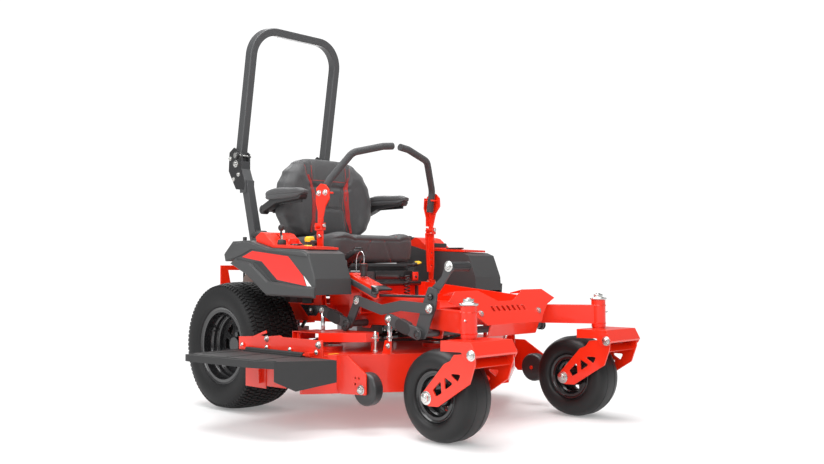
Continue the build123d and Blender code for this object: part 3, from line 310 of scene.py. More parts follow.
def make_breakup():
    """Broad unevenness and fine grain, for colour, roughness and bump."""
    tree, given, out = new_group(
        "Surface breakup", [("Place", "Vector", None), ("Colour", "Color", (0.5, 0.5, 0.5, 1)),
                            ("Roughness", "Float", 0.4), ("Grain size", "Float", 300.0),
                            ("Unevenness", "Float", 0.2)],
        [("Colour", "Color"), ("Roughness", "Float"), ("Height", "Float")])
    broad, fine = noise(tree, given["Place"], 5.0, 4.0), noise(tree, given["Place"], given["Grain size"], 2.0)
    shift, speck = (maths(tree, "MULTIPLY", maths(tree, "SUBTRACT", wave, 0.5), given["Unevenness"])
                    for wave in (broad, fine))
    level = maths(tree, "ADD", maths(tree, "ADD", shift, speck), 1.0)
    feed(tree, out["Colour"], shaded(tree, given["Colour"], level))
    feed(tree, out["Roughness"], maths(tree, "ADD", given["Roughness"], maths(tree, "MULTIPLY", shift, 0.5), True))
    feed(tree, out["Height"], fine)
    return tree


def make_edges():
    """Rounded look and a mask along sharp edges, where paint thins and where a painted highlight lightens the edge."""
    tree, given, out = new_group("Rounded edges with wear and highlight", [("Radius", "Float", 0.0015)],
                                 [("Normal", "Vector"), ("Edge", "Float")])
    bevel = node(tree, "Bevel", Radius=given["Radius"])
    bevel.samples = 4
    dot = tree.nodes.new("ShaderNodeVectorMath")
    dot.operation = "DOT_PRODUCT"
    feed(tree, dot.inputs[0], bevel.outputs[0])
    feed(tree, dot.inputs[1], node(tree, "NewGeometry").outputs["Normal"])
    edge = maths(tree, "MULTIPLY", maths(tree, "SUBTRACT", 1.0, dot.outputs["Value"]), 3.0, True)
    feed(tree, out["Normal"], bevel.outputs[0])
    feed(tree, out["Edge"], edge)
    return tree


BREAKUP, EDGES = make_breakup(), make_edges()


def new_material(name):
    """A material, its tree, its main shader and its object coordinates."""
    mat = bpy.data.materials.new(name)
    mat.use_nodes = True
    tree = mat.node_tree
    return mat, tree, tree.nodes["Principled BSDF"].inputs, node(tree, "TexCoord").outputs["Object"]


def finish(name, colour, roughness, metallic=0.0, coat=0.0, grain=300.0, uneven=0.12, bump=0.02,
           edge=0.0015, edge_wear_and_highlight=None, edge_wear_and_highlight_amount=0.35, sheen=0.0, specular=0.5):
    """A material: broken-up colour and gloss, fine bump (mm), rounded edges lightened partly by wear and partly as a
    painted highlight.
    """
    mat, tree, shader, place = new_material(name)
    surface = node(tree, "Group", BREAKUP, Place=place, Colour=colour, Roughness=roughness, Grain_size=grain,
                   Unevenness=uneven).outputs
    colour_out = surface["Colour"]
    bumps = node(tree, "Bump", Strength=1.0, Distance=bump / 1000, Height=surface["Height"])
    if edge:
        edges = node(tree, "Group", EDGES, Radius=edge).outputs
        feed(tree, bumps.inputs["Normal"], edges["Normal"])
        # Lighter colour along the edges: partly wear, partly a painted highlight on the edges.
        if edge_wear_and_highlight:
            colour_out = blend_colour(tree, maths(tree, "MULTIPLY", edges["Edge"], edge_wear_and_highlight_amount), colour_out, edge_wear_and_highlight)
    for label, value in (("Base Color", colour_out), ("Roughness", surface["Roughness"]),
                         ("Normal", bumps.outputs["Normal"]), ("Metallic", metallic), ("Coat Weight", coat),
                         ("Coat Roughness", 0.06), ("Specular IOR Level", specular)):
        feed(tree, shader[label], value)
    if sheen:
        feed(tree, shader["Sheen Weight"], sheen)
        feed(tree, shader["Sheen Roughness"], 0.4)
    return mat


# Each edge colour below is lighter than its base: edge wear plus a painted edge highlight; the red's pink edge is
# mostly painted highlight.
LACQUER = finish("Orange red powder coat", (0.82, 0.02, 0.0015), 0.32, coat=0.35, grain=900, uneven=0.05,
                 bump=0.01, edge=0.002, edge_wear_and_highlight=(1.0, 0.22, 0.12), edge_wear_and_highlight_amount=0.6)
SATIN = finish("Graphite satin paint", (0.048, 0.049, 0.051), 0.38, grain=700, uneven=0.08, bump=0.015,
               edge=0.002, edge_wear_and_highlight=(0.16, 0.16, 0.17), edge_wear_and_highlight_amount=0.5)
BLACK = finish("Black gloss paint", (0.012, 0.012, 0.013), 0.22, coat=0.4, grain=700, uneven=0.1, bump=0.01,
               edge=0.0015, edge_wear_and_highlight=(0.1, 0.1, 0.1), edge_wear_and_highlight_amount=0.4)
POD = finish("Moulded charcoal plastic", (0.046, 0.047, 0.048), 0.52, grain=1600, uneven=0.14, bump=0.06,
             edge=0.0025, edge_wear_and_highlight=(0.13, 0.13, 0.13), edge_wear_and_highlight_amount=0.45)
TRIM = finish("Black moulded trim", (0.02, 0.02, 0.021), 0.48, grain=1400, uneven=0.14, bump=0.05,
              edge_wear_and_highlight=(0.08, 0.08, 0.08), edge_wear_and_highlight_amount=0.3)
TURF = finish("Drive tyre rubber", (0.0085, 0.0085, 0.009), 0.6, grain=500, uneven=0.3, bump=0.12,
              edge=0.0012, specular=0.3, edge_wear_and_highlight=(0.05, 0.05, 0.05), edge_wear_and_highlight_amount=0.5)
SLICK = finish("Caster tyre rubber", (0.009, 0.009, 0.0095), 0.45, specular=0.38, grain=260, uneven=0.25, bump=0.08)
CHUTE = finish("Chute rubber", (0.02, 0.02, 0.0205), 0.66, grain=420, uneven=0.3, bump=0.35,
               edge_wear_and_highlight=(0.07, 0.07, 0.07), edge_wear_and_highlight_amount=0.5)
NYLON = finish("Deck wheel nylon", (0.03, 0.03, 0.031), 0.36, grain=500, uneven=0.18, bump=0.04)
ZINC = finish("Zinc plated steel", (0.66, 0.66, 0.64), 0.24, metallic=1.0, grain=600, uneven=0.22, bump=0.02,
              edge=0.0008)
CHROME = finish("Bright rod", (0.78, 0.78, 0.79), 0.12, metallic=1.0, grain=900, uneven=0.08, bump=0.005)
ALLOY = finish("Cast alloy", (0.42, 0.43, 0.44), 0.45, metallic=0.9, grain=350, uneven=0.25, bump=0.15)
IRON = finish("Black engine casting", (0.028, 0.028, 0.03), 0.5, grain=300, uneven=0.3, bump=0.2,
              edge_wear_and_highlight=(0.12, 0.12, 0.12), edge_wear_and_highlight_amount=0.4)
EXHAUST = finish("Heated exhaust steel", (0.2, 0.17, 0.15), 0.42, metallic=0.85, grain=120, uneven=0.5, bump=0.08)
FOAM = finish("Grip foam", (0.042, 0.043, 0.045), 0.7, grain=1100, uneven=0.2, bump=0.12, sheen=0.15)
BELT = finish("Belt rubber", (0.014, 0.014, 0.014), 0.7, grain=800, uneven=0.3, bump=0.05)
YELLOW = finish("Yellow plastic", (0.85, 0.56, 0.02), 0.4, uneven=0.08)
DECAL = finish("Red decal film", (0.85, 0.02, 0.012), 0.3, coat=0.3, grain=1200, uneven=0.03, bump=0.005, edge=0)
DARK_ROD = finish("Dark oiled rod", (0.06, 0.06, 0.062), 0.3, metallic=0.8, grain=900, uneven=0.2, bump=0.02)
WHITE = finish("White marking", (0.82, 0.82, 0.8), 0.4, uneven=0.05)


def cad_finishes():
    """Give every carried-over node its finish."""
    by_node = {
        LACQUER: "frame_crossmembers nose_panel floor_pan rear_bumper console_panels deck_shell chute_hinge "
                 "belt_covers height_plate left_caster_head right_caster_head left_fork_arm right_fork_arm "
                 "left_frame_rail right_frame_rail left_lever_post right_lever_post left_lever_head "
                 "right_lever_head",
        SATIN: "left_rops_post right_rops_post rops_hoop lift_pedal rear_lift_arms lift_link seat_base seat_pan",
        BLACK: "left_rear_rim right_rear_rim left_caster_rim right_caster_rim left_armrest right_armrest "
               "brake_lever",
        POD: "left_tank right_tank", TURF: "left_rear_tyre right_rear_tyre",
        SLICK: "left_caster_tyre right_caster_tyre", CHUTE: "discharge_chute", NYLON: "left_roller right_roller",
        ZINC: "left_spindle right_spindle centre_spindle rops_pins", DARK_ROD: "depth_rod", ALLOY: "hydro_drives",
        IRON: "engine", TRIM: "engine_cover pto_knob throttle_lever seat_cushion seat_backrest "
        "left_armrest_pad right_armrest_pad",
        FOAM: "left_lap_bar right_lap_bar", BELT: "deck_belt"}
    for mat, names in by_node.items():
        for name in names.split():
            obj = NODES[name]
            for slot in obj.material_slots:
                slot.material = mat
            if not obj.material_slots:
                obj.data.materials.append(mat)


cad_finishes()

# ================================================================ view, floor and light
STUDIO_WHITE = 1.1          # strength of everything the camera sees behind the machine
FADE_FROM, FADE_TO = 0.9, 2.6       # distances (m) over which the floor turns to plain white


def floor_finish():
    """Pale sweep: shadowed near the machine, plain white further out."""
    mat, tree, shader, place = new_material("Studio floor")
    for label, value in (("Base Color", (0.9, 0.9, 0.9)), ("Roughness", 0.9), ("Specular IOR Level", 0.05)):
        feed(tree, shader[label], value)
    length = tree.nodes.new("ShaderNodeVectorMath")
    length.operation = "LENGTH"
    feed(tree, length.inputs[0], place)
    fade = node(tree, "MapRange", From_Min=FADE_FROM, From_Max=FADE_TO, To_Min=0.22, To_Max=1.0,
                Value=length.outputs["Value"])
    fade.interpolation_type = "SMOOTHSTEP"
    glow = node(tree, "Emission", Strength=STUDIO_WHITE)
    mixed(tree, fade.outputs["Result"], tree.nodes["Principled BSDF"], glow, "Material Output")
    return mat


def mixed(tree, factor, first, second, end):
    """Two shaders mixed by a factor, as what the tree shows."""
    mix = tree.nodes.new("ShaderNodeMixShader")
    for socket, value in zip(mix.inputs, (factor, first.outputs[0], second.outputs[0])):
        feed(tree, socket, value)
    feed(tree, tree.nodes[end].inputs[0], mix.outputs[0])


def camera_and_studio():
    """Camera, pale floor and soft lights."""
    data = bpy.data.cameras.new("View")
    camera = bpy.data.objects.new("View", data)
    bpy.context.collection.objects.link(camera)
    yaw, pitch = math.radians(44.0), math.radians(2.53)
    look = Vector((math.sin(yaw) * math.cos(pitch), math.cos(yaw) * math.cos(pitch), math.sin(pitch)))
    camera.location = at(-2693.2, -3271.5, 606.5)
    camera.rotation_euler = look.to_track_quat("-Z", "Y").to_euler()
    camera.rotation_euler.rotate_axis("Z", math.radians(-0.22))
    data.sensor_width, data.lens = 36.0, 37.83
    data.shift_x, data.shift_y = 0.0239, 0.0004
    data.clip_start, data.clip_end = 0.05, 200
    bpy.context.scene.camera = camera

    floor_mat = floor_finish()
    bpy.ops.mesh.primitive_circle_add(vertices=128, radius=60, fill_type="NGON", location=(0, 0, -0.0005))
    settle(fresh("studio_floor", floor_mat))

    world = bpy.data.worlds.new("Studio")
    bpy.context.scene.world = world
    world.use_nodes = True
    tree = world.node_tree
    light = tree.nodes["Background"]
    feed(tree, light.inputs["Color"], (1, 1, 1))
    feed(tree, light.inputs["Strength"], 0.42)
    seen = node(tree, "Background", Color=(1, 1, 1), Strength=STUDIO_WHITE)
    mixed(tree, node(tree, "LightPath").outputs["Is Camera Ray"], light, seen, "World Output")

    for name, place, aim, size, power in (
            ("Overhead softbox", (-300, -600, 3600), (0, -500, 300), 3.2, 165),
            ("Front softbox", (-2600, -3600, 2300), (0, -600, 500), 2.0, 70),
            ("Right softbox", (-3400, 200, 1900), (0, -400, 500), 1.8, 50),
            ("Rear softbox", (1800, 2800, 2400), (0, -200, 700), 2.2, 60)):
        bpy.ops.object.light_add(type="AREA", location=at(*place))
        lamp = bpy.context.object
        lamp.name = name
        lamp.rotation_euler = (at(*aim) - at(*place)).to_track_quat("-Z", "Y").to_euler()
        lamp.data.shape, lamp.data.size, lamp.data.energy = "SQUARE", size, power
    bpy.context.scene.view_settings.view_transform = "Standard"


camera_and_studio()


# ================================================================ wheels
REAR_X, REAR_Z = 469.0, 279.5
CASTER_X, CASTER_Y, CASTER_Z = 406.0, -1177.0, 165.0
SWIVEL_Y = CASTER_Y - 107
TREAD_PITCH = 2 * math.pi / 84
OUT = Vector((-1, 0, 0))


def wheel_section(side, crown, inside):
    """Closed section of a tyre from one side's (u, r) points, mirrored about the middle."""
    return ([(-u, r) for u, r in reversed(side)] + crown + side + inside
            + [(-u, r) for u, r in reversed(inside[:-1])])


def tread_radius(u):
    """Carcass radius of the drive tyre under the tread, at a distance from its middle."""
    return 272.5 - 15.0 * (abs(u) / 118) ** 2.8


def tread_block(corner, bevel):
    """Block of the drive tyre: corner() takes outer, ahead and top, and gives u, radius and turn."""
    bpy.ops.mesh.primitive_cube_add(size=1)
    made = fresh("tread_block", TURF)
    for vertex in made.data.vertices:
        u, r, turn = corner(*(c > 0 for c in vertex.co))
        vertex.co = at(-REAR_X - u, -r * math.sin(turn), REAR_Z + r * math.cos(turn))
    return apply_modifier(made, "BEVEL", width=bevel, segments=1)


def rear_tyre():
    """Drive tyre: smooth carcass with bead rings, and turf blocks in slanted rows."""
    side = [(118, 257.0), (124, 250), (128.5, 238), (130.5, 222), (130, 206), (127, 192), (121, 181),
            (117, 177), (116, 173), (112, 171), (108, 170), (105, 166), (103, 153)]
    crown = [(u, tread_radius(u)) for u in range(-104, 105, 16)]
    inside = [(94, 153), (96, 190), (110, 215), (90, 256), (0, 262)]
    carcass = turned("rear_tyre_carcass", wheel_section(side, crown, inside), (-REAR_X, 0, REAR_Z), OUT, TURF,
                     112, 50)
    blocks = []
    rows = ((-116, 24), (-82, 27), (-51.5, 27), (-20.5, 27), (10, 27), (41, 27), (71.5, 27), (102, 24))
    for k, (left, width) in enumerate(rows):
        lean, start = (0.30, 0.0) if k % 2 else (-0.30, 0.5)

        def tread(outer, ahead, top):
            u = min(left + width * outer, 120)
            turn = TREAD_PITCH * (start + (0.84 if ahead else 0.12) + (lean if outer else -lean) * 0.5)
            turn += TREAD_PITCH * 0.04 * (0 if top else (1 if ahead else -1))
            return u, tread_radius(min(abs(u), 118)) + (7.0 if top else -2.5), turn

        blocks.append(tread_block(tread, 0.0012))
    for sign in (-1, 1):
        def shoulder(outer, ahead, top):
            u, r = ((128.3, 239) if top else (124.5, 238)) if outer else ((119.5, 259.0) if top else (112, 256))
            return sign * u, r, TREAD_PITCH * ((0.5 if sign < 0 else 0.0) + (0.80 if ahead else 0.18))

        blocks.append(tread_block(shoulder, 0.0010))
    tread_ring = join("rear_tyre_tread", *blocks)
    only(tread_ring)
    bpy.ops.object.mode_set(mode="EDIT")
    bpy.ops.mesh.select_all(action="SELECT")
    bpy.ops.mesh.spin(steps=84, angle=2 * math.pi, dupli=True, center=at(-REAR_X, 0, REAR_Z), axis=(-1, 0, 0))
    bpy.ops.object.mode_set(mode="OBJECT")
    outward(tread_ring)
    stand_in("rear_tyre", "{side}_rear_wheel", carcass, smooth(tread_ring, 30))


def stand_in(name, body, *pieces):
    """Pieces joined on both sides, in place of the CAD node of the same name."""
    for piece, side in zip(both(join(name, *pieces), body), ("right", "left")):
        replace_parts(piece, side + "_" + name)


def rear_rim():
    """Stepped rim barrel and lip, wheel nuts, hub cap and valve."""
    face = [(110, 171.5), (112, 168), (111, 164), (107, 158), (101, 151), (96, 149.0), (72, 147), (67, 144),
            (62, 139.5), (46, 137), (42, 134), (37, 127.2), (30, 125.5), (2, 124.5), (-8, 122), (-13.5, 116)]
    back = [(-13.8, 119), (-9, 124.5), (2, 127), (30, 128), (34, 130), (39, 137), (44, 140), (60, 142),
            (64, 147), (70, 150), (95, 152), (104, 160), (105, 172)]
    hub = [(-13.5, 60), (-8, 59), (-6, 55), (-6, 36), (2, 33), (4, 26), (4, 2), (-14, 2)]
    centre = (-REAR_X, 0, REAR_Z)
    parts = [turned("rim_barrel", face + back, centre, OUT, BLACK, 112, 28),
             turned("hub_ring", hub, centre, OUT, BLACK, 64, 30)]
    for k in range(5):
        a = math.radians(72 * k + 18)
        y, z = 46 * math.cos(a), REAR_Z + 46 * math.sin(a)
        parts.append(rod("wheel_nut", (-REAR_X - 3, y, z), (-REAR_X + 22, y, z), 12, ZINC, 1.5, 6))
        parts.append(rod("stud_end", (-REAR_X - 9, y, z), (-REAR_X + 2, y, z), 5.5, ZINC, 1.0, 16))
    parts.append(rod("valve", (-REAR_X - 52, 118, REAR_Z + 60), (-REAR_X - 84, 112, REAR_Z + 58), 4, TRIM, 0.8,
                     16))
    on_both("rear_rim_face", "{side}_rear_wheel", "black_paint", *parts)


def caster_wheel():
    """Smooth caster tyre with bead rings, its stepped rim, and the bearing seal."""
    side = [(58, 156.5), (67, 149), (72.5, 138), (75, 124), (74.5, 112), (71, 101), (65, 95.5), (61, 94.0),
            (58, 92.5), (55, 88), (52, 77)]
    crown = [(-44, 161.5), (-30, 163.7), (-15, 164.7), (0, 165), (15, 164.7), (30, 163.7), (44, 161.5)]
    inside = [(44, 77), (46, 100), (60, 118), (44, 150), (0, 153)]
    centre = (-CASTER_X, CASTER_Y, CASTER_Z)
    rings = [turned("caster_tyre", wheel_section(side, crown, inside), centre, OUT, SLICK, 96, 60)]
    for line in (-26, 26):
        rings.append(turned("mould_line", [(line - 1, 163), (line, 165.1), (line + 1, 163)], centre, OUT, SLICK,
                            96))
    stand_in("caster_tyre", "{side}_caster_wheel", *rings)
    rim = [(60, 92), (61.5, 89.5), (60, 86), (55, 79), (50, 75), (38, 73.5), (33, 70), (28, 64), (22, 62),
           (8, 61), (7, 63), (21, 65), (26, 67), (31, 73), (37, 76), (50, 78), (56, 92)]
    seal = [(92, 24.5), (93.3, 23), (93.3, 12), (86, 12), (86, 25.5), (90, 25.5)]
    flare = [(26, 24.3), (26, 34), (20, 38), (4, 40), (4, 24.3)]
    on_both("caster_rim_face", "{side}_caster_wheel", "black_paint",
            *[turned(name, [(face * u, r) for u, r in section], centre, OUT, metal, steps, angle)
              for face in (1, -1)
              for name, section, metal, steps, angle in (
                  ("caster_rim", rim, BLACK, 80, 28), ("bearing_seal", seal, ZINC, 48, 30),
                  ("hub_flare", flare, BLACK, 48, 30))])


rear_tyre()
rear_rim()
caster_wheel()

# ================================================================ seat
def make_leather():
    """Pebbled vinyl: cells for bump, and painted shade that darkens the creases."""
    tree, given, out = new_group("Vinyl grain", [("Place", "Vector", None), ("Cells", "Float", 420.0),
                                                 ("Colour", "Color", (0.03, 0.03, 0.03, 1))],
                                 [("Colour", "Color"), ("Height", "Float")])
    cells = tree.nodes.new("ShaderNodeTexVoronoi")
    cells.feature = "DISTANCE_TO_EDGE"
    feed(tree, cells.inputs["Vector"], given["Place"])
    feed(tree, cells.inputs["Scale"], given["Cells"])
    crease = maths(tree, "MULTIPLY", cells.outputs["Distance"], 4.0, True)
    soft = noise(tree, given["Place"], 14.0, 3.0)
    # Painted shade: colour darker in the creases of the grain, with random tone on top.
    tone_and_crease_shade = maths(tree, "ADD", maths(tree, "MULTIPLY", crease, 0.25),
                  maths(tree, "ADD", maths(tree, "MULTIPLY", soft, 0.4), 0.6))
    feed(tree, out["Colour"], shaded(tree, given["Colour"], tone_and_crease_shade))
    feed(tree, out["Height"], maths(tree, "ADD", crease, maths(tree, "MULTIPLY", soft, 0.8)))
    return tree


LEATHER = make_leather()


def vinyl(name, colour, roughness):
    """Seat vinyl of one colour, its grain 0.25 mm deep."""
    mat, tree, shader, place = new_material(name)
    skin = node(tree, "Group", LEATHER, Place=place, Cells=420.0, Colour=colour).outputs
    bumps = node(tree, "Bump", Distance=0.00025, Height=skin["Height"])
    for label, value in (("Base Color", skin["Colour"]), ("Normal", bumps.outputs["Normal"]),
                         ("Roughness", roughness), ("Sheen Weight", 0.12), ("Specular IOR Level", 0.45)):
        feed(tree, shader[label], value)
    return mat


VINYL = vinyl("Charcoal seat vinyl", (0.055, 0.056, 0.058), 0.5)
VINYL_RED = vinyl("Red seat stripe vinyl", (0.36, 0.012, 0.01), 0.5)
THREAD = finish("Red stitching", (0.55, 0.03, 0.02), 0.6, grain=3000, uneven=0.3, bump=0.1, edge=0)


def bump_line(value, centre, width):
    """Smooth ridge or groove across a value, 1 at its centre."""
    return math.exp(-((value - centre) / width) ** 2)


def table_value(rows, key):
    """Value read between the rows of a (key, value) table."""
    if key <= rows[0][0]:
        return rows[0][1]
    for (k0, v0), (k1, v1) in zip(rows, rows[1:]):
        if key <= k1:
            t = (key - k0) / (k1 - k0)
            t = t * t * (3 - 2 * t)
            return v0 + (v1 - v0) * t
    return rows[-1][1]


def padded_form(name, shape, cuts, power):
    """Closed cushion: a cube cut fine, its corners rounded off, then shaped by a function."""
    bpy.ops.mesh.primitive_cube_add(size=2)
    obj = only(fresh(name, VINYL))
    bpy.ops.object.mode_set(mode="EDIT")
    bpy.ops.mesh.select_all(action="SELECT")
    bpy.ops.mesh.subdivide(number_cuts=cuts)
    bpy.ops.object.mode_set(mode="OBJECT")
    for vertex in obj.data.vertices:
        vertex.co = at(*shape(*rounded(vertex.co, power)))
    outward(obj)
    apply_modifier(obj, "SUBSURF", levels=1, render_levels=1)
    return smooth(obj, 80)


def rounded(v, power):
    """A point of a cube moved onto a cube with rounded corners; more power, squarer corners."""
    size = sum(abs(c) ** power for c in v) ** (1 / power)
    return [c / size for c in v]


BACK_MIDDLE, BACK_HALF = 960, 186       # height of the backrest's middle, and half its height
BACK_WIDTH = [(778, 226), (820, 252), (880, 276), (950, 281), (1010, 268), (1070, 238), (1120, 196), (1146, 176)]


def back_shape(a, b, c):
    """Backrest: a across, b up, c front (-1) to back (1)."""
    z = BACK_MIDDLE + BACK_HALF * b
    x = a * table_value(BACK_WIDTH, z)
    lean = 0.075 * (z - 775)
    front = -58 + lean + 10 * abs(b) ** 3
    t = (c + 1) / 2
    y = front + t * (36 - front)
    if c < 0:
        strength = min(1.0, -c * 1.6)
        wing = bump_line(abs(a), 0.80, 0.17) * (18 if z < 1060 else 18 * max(0, (1130 - z) / 70))
        valley = 9 * bump_line(abs(a), seam_at(z), 0.045)
        panel = 7 * bump_line(z, 1010, 9) * (abs(x) < 128) + 4 * bump_line(abs(x), 100, 6) * (z > 1010)
        waist = 5 * bump_line(z, 905, 7) * (abs(a) < seam_at(z))
        crown = -10 * (1 - min(1.0, abs(a)) ** 2)
        y += strength * (valley + panel + waist + crown - wing)
    else:
        y += 4 * bump_line(abs(a), 0.7, 0.04) * c
    return x, y, z


def seam_at(z):
    """Where the bolster seam runs, as a share of the half width."""
    return table_value([(775, 0.46), (860, 0.33), (930, 0.27), (1000, 0.33), (1070, 0.56), (1146, 0.8)], z)


def on_back(a, z, lift=1.5):
    """A point on the backrest's front face, lifted off it by a little."""
    x, y, z = back_shape(a, (z - BACK_MIDDLE) / BACK_HALF, -1.0)
    return x, y - lift, z


def seat_back():
    """Backrest with its red stripes and stitching."""
    back = padded_form("seat_backrest_cover", back_shape, 56, 7.0)
    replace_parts(to_body(back, "seat"), "seat_backrest")
    stripes = []
    rows = range(1066, 789, -12)
    for side in (-1, 1):
        inner, outer = ([on_back(side * (stripe_x(z) + share * stripe_width(z)) / table_value(BACK_WIDTH, z), z, 1.0)
                         for z in rows] for share in (0, 1))
        stripes.append(ribbon("seat_stripe", inner, outer, VINYL_RED, 1.6))
        stripes.append(thread([on_back(side * (seam_at(z) + 0.012), z, 0.6) for z in range(800, 1120, 12)]))
    stripes.append(thread([on_back(t / 10 * 0.4, 1040, 0.2) for t in range(-10, 11)], 1.0))
    for side in (-1, 1):
        stripes.append(thread([on_back(side * 107 / table_value(BACK_WIDTH, z), z, 0.2)
                               for z in range(1042, 1122, 10)]))
    on_one("seat_trim", "seat", "seat_vinyl", *stripes)


def thread(line, radius=0.9):
    """Stitching along a line of points."""
    return pipe("thread", line, radius, THREAD, 2, 3)


def stripe_x(z):
    """Inner edge of the red stripe, from the middle."""
    return table_value([(790, 118), (865, 96), (940, 88), (1010, 95), (1066, 122)], z)


def stripe_width(z):
    """Width of the red stripe."""
    return table_value([(790, 12), (860, 22), (940, 26), (1010, 22), (1066, 8)], z)


def ribbon(name, edge_a, edge_b, finish_mat, thick):
    """Strip between two lines of points, given a thickness in millimetres."""
    n = len(edge_a)
    bpy.ops.mesh.primitive_grid_add(x_subdivisions=n - 1, y_subdivisions=1, size=2)
    obj = fresh(name, finish_mat)
    for vertex in obj.data.vertices:
        k = round((vertex.co.x + 1) / 2 * (n - 1))
        vertex.co = at(*(edge_a[k] if vertex.co.y < 0 else edge_b[k]))
    apply_modifier(obj, "SOLIDIFY", thickness=thick / 1000, offset=0)
    return smooth(outward(obj), 50)


def cushion_shape(a, b, c):
    """Seat cushion: a across, b front (-1) to back (1), c bottom (-1) to top (1)."""
    x = a * (245 - 10 * max(0, b) ** 2)
    y = -177 + b * 214
    top = 758 - 6 * b + 12 * bump_line(abs(a), 0.78, 0.18) + 8 * bump_line(b, -0.75, 0.3)
    z = 642 + (c + 1) / 2 * (top - 642)
    if c > 0:
        z -= c * (8 * bump_line(abs(a), 0.56, 0.035) + 5 * bump_line(b, -0.5, 0.03) * (abs(a) < 0.56)
                  + 4 * bump_line(b, 0.1, 0.03) * (abs(a) < 0.56))
    if b < 0:
        slope = (1 - c) / 2
        crease = 5 * bump_line(abs(a), 0.12 + 0.28 * slope, 0.02) * (slope > 0.2)
        y += -b * (crease + 14 * slope ** 2 + 4 * bump_line(slope, 0.2, 0.04))
    x += (6 if a > 0 else -6) * (1 - abs(c)) * abs(a) ** 4
    return x, y, z


def cushion_and_arms():
    """Cushion with its stitching, and the armrests."""
    cushion = padded_form("seat_cushion_cover", cushion_shape, 52, 9.0)
    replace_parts(to_body(cushion, "seat"), "seat_cushion")
    threads = []
    for side in (-1, 1):
        down = [cushion_shape(side * (0.12 + 0.28 * s / 10), -1.0, 1 - 2 * s / 10) for s in range(2, 11)]
        threads.append(thread([(x, y - 0.4, z) for x, y, z in down]))
        along = [cushion_shape(side * 0.56, b / 10, 1.0) for b in range(-9, 9)]
        threads.append(thread([(x, y, z + 0.3) for x, y, z in along], 1.0))
    on_one("cushion_seams", "seat", "seat_vinyl", *threads)

    def pad_shape(a, b, c):
        """Armrest pad: a across, b front (-1) to back (1), c bottom to top."""
        y = -121 + b * 141
        thick = table_value([(-262, 22), (-215, 44), (-60, 52), (20, 46)], y)
        low = 932.5 + 14 * bump_line(y, -262, 26)
        x = -316 + a * (31 - 6 * bump_line(b, -1, 0.35))
        z = low + (c + 1) / 2 * thick
        z += 3 * max(0, c) * (1 - a * a)
        if abs(c) < 0.4:
            x -= a * 2.5 * bump_line(c, -0.1, 0.1)
        return x, y, z

    pad = padded_form("armrest_cover", pad_shape, 28, 4.5)
    hinge_cover = turned("armrest_boss", [(-17, 4), (-17, 18), (-14, 21), (14, 21), (17, 18), (17, 4)],
                         (-316, 50, 893), (1, 0, 0), TRIM, 40)
    under = across("armrest_shell", [(42, 880), (44, 912), (-20, 938), (-226, 938), (-252, 946), (-238, 926),
                                     (-60, 916), (-18, 900)], -338, -294, TRIM, 5, 3)
    pads = both(pad, "{side}_armrest")
    for piece, side in zip(pads, ("right", "left")):
        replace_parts(piece, side + "_armrest_pad")
    on_both("armrest_shell", "{side}_armrest", "black_paint", under, hinge_cover)


def seat_parts():
    """Rear shell with its pouch, bellows, slide handle and belt buckle."""
    shell = [(x, 38, z) for x, z in ((-205, 800), (205, 800), (238, 900), (232, 1000), (170, 1098), (-170, 1098),
                                     (-232, 1000), (-238, 900))]
    on_one("seat_back_shell", "seat", "seat_vinyl", slab("back_shell", shell, (0, 9, 0), TRIM, 4, 3),
           *[brick("shell_rib", (-150, 46, z), (150, 52, z + 10), TRIM, 2) for z in (830, 870, 910)],
           brick("document_pouch", (-130, 46, 940), (130, 60, 1050), TRIM, 8, 3))
    bellows = []
    for k in range(5):
        z, inset = 606 + 4.4 * k, 6 if k % 2 else 0
        bellows.append(brick("bellows_fold", (-176 + inset, -392 + inset, z), (176 - inset, -80, z + 4.2), TRIM,
                             1.6))
    on_one("seat_bellows", "frame", "seat_vinyl", *bellows)
    handle = rod("slide_handle", (276, -340, 634), (302, -346, 638), 9, TRIM, 3)
    tip = slab("slide_tip", [(292, -354, 634), (316, -360, 640), (318, -338, 648), (294, -332, 644)], (0, 0, 7),
               YELLOW, 2)
    buckle = slab("belt_buckle", [(-262, -262, 700), (-228, -262, 700), (-222, -262, 772), (-262, -262, 772)],
                  (0, 22, 0), TRIM, 5, 3)
    middle = at(-245, -250, 735)
    buckle.data.transform(Matrix.Translation(middle) @ Euler((0.5, 0, 0)).to_matrix().to_4x4()
                          @ Matrix.Translation(-middle))
    stalk = pipe("buckle_stalk", [(-236, -120, 640), (-250, -160, 662), (-252, -210, 700)], 5, TRIM)
    on_one("seat_hardware", "seat", "seat_vinyl", handle, tip, buckle, stalk)


seat_back()
cushion_and_arms()
seat_parts()
# ================================================================ fastenings
def bolt(place, out=OUT, size=9.0, washer=0.0, proud=6.0, metal=ZINC):
    """Hexagon head with its rounded end, on an optional washer; out points away from the work."""
    place, out = Vector(place), Vector(out).normalized()
    pieces = []
    if washer:
        pieces.append(rod("washer", place, place + out * 2.2, washer, metal, 0.5, 40))
        place = place + out * 2.0
    pieces.append(rod("bolt_head", place, place + out * proud, size, metal, 1.2, 6))
    pieces.append(rod("bolt_end", place + out * (proud - 1.5), place + out * (proud + 2.5), size * 0.52, metal,
                      0.8, 20))
    return pieces


def bolts(*rows):
    """Several bolts, each row holding what bolt() takes."""
    return [piece for row in rows for piece in bolt(*row)]


def dome(place, size):
    """Round-headed carriage bolt."""
    return turned("dome_bolt", [(0, 0.4), (0, size), (1.6, size), (size * 0.42, size * 0.72),
                                (size * 0.6, size * 0.3), (size * 0.63, 0.4)], place, OUT, ZINC, 32, 60)


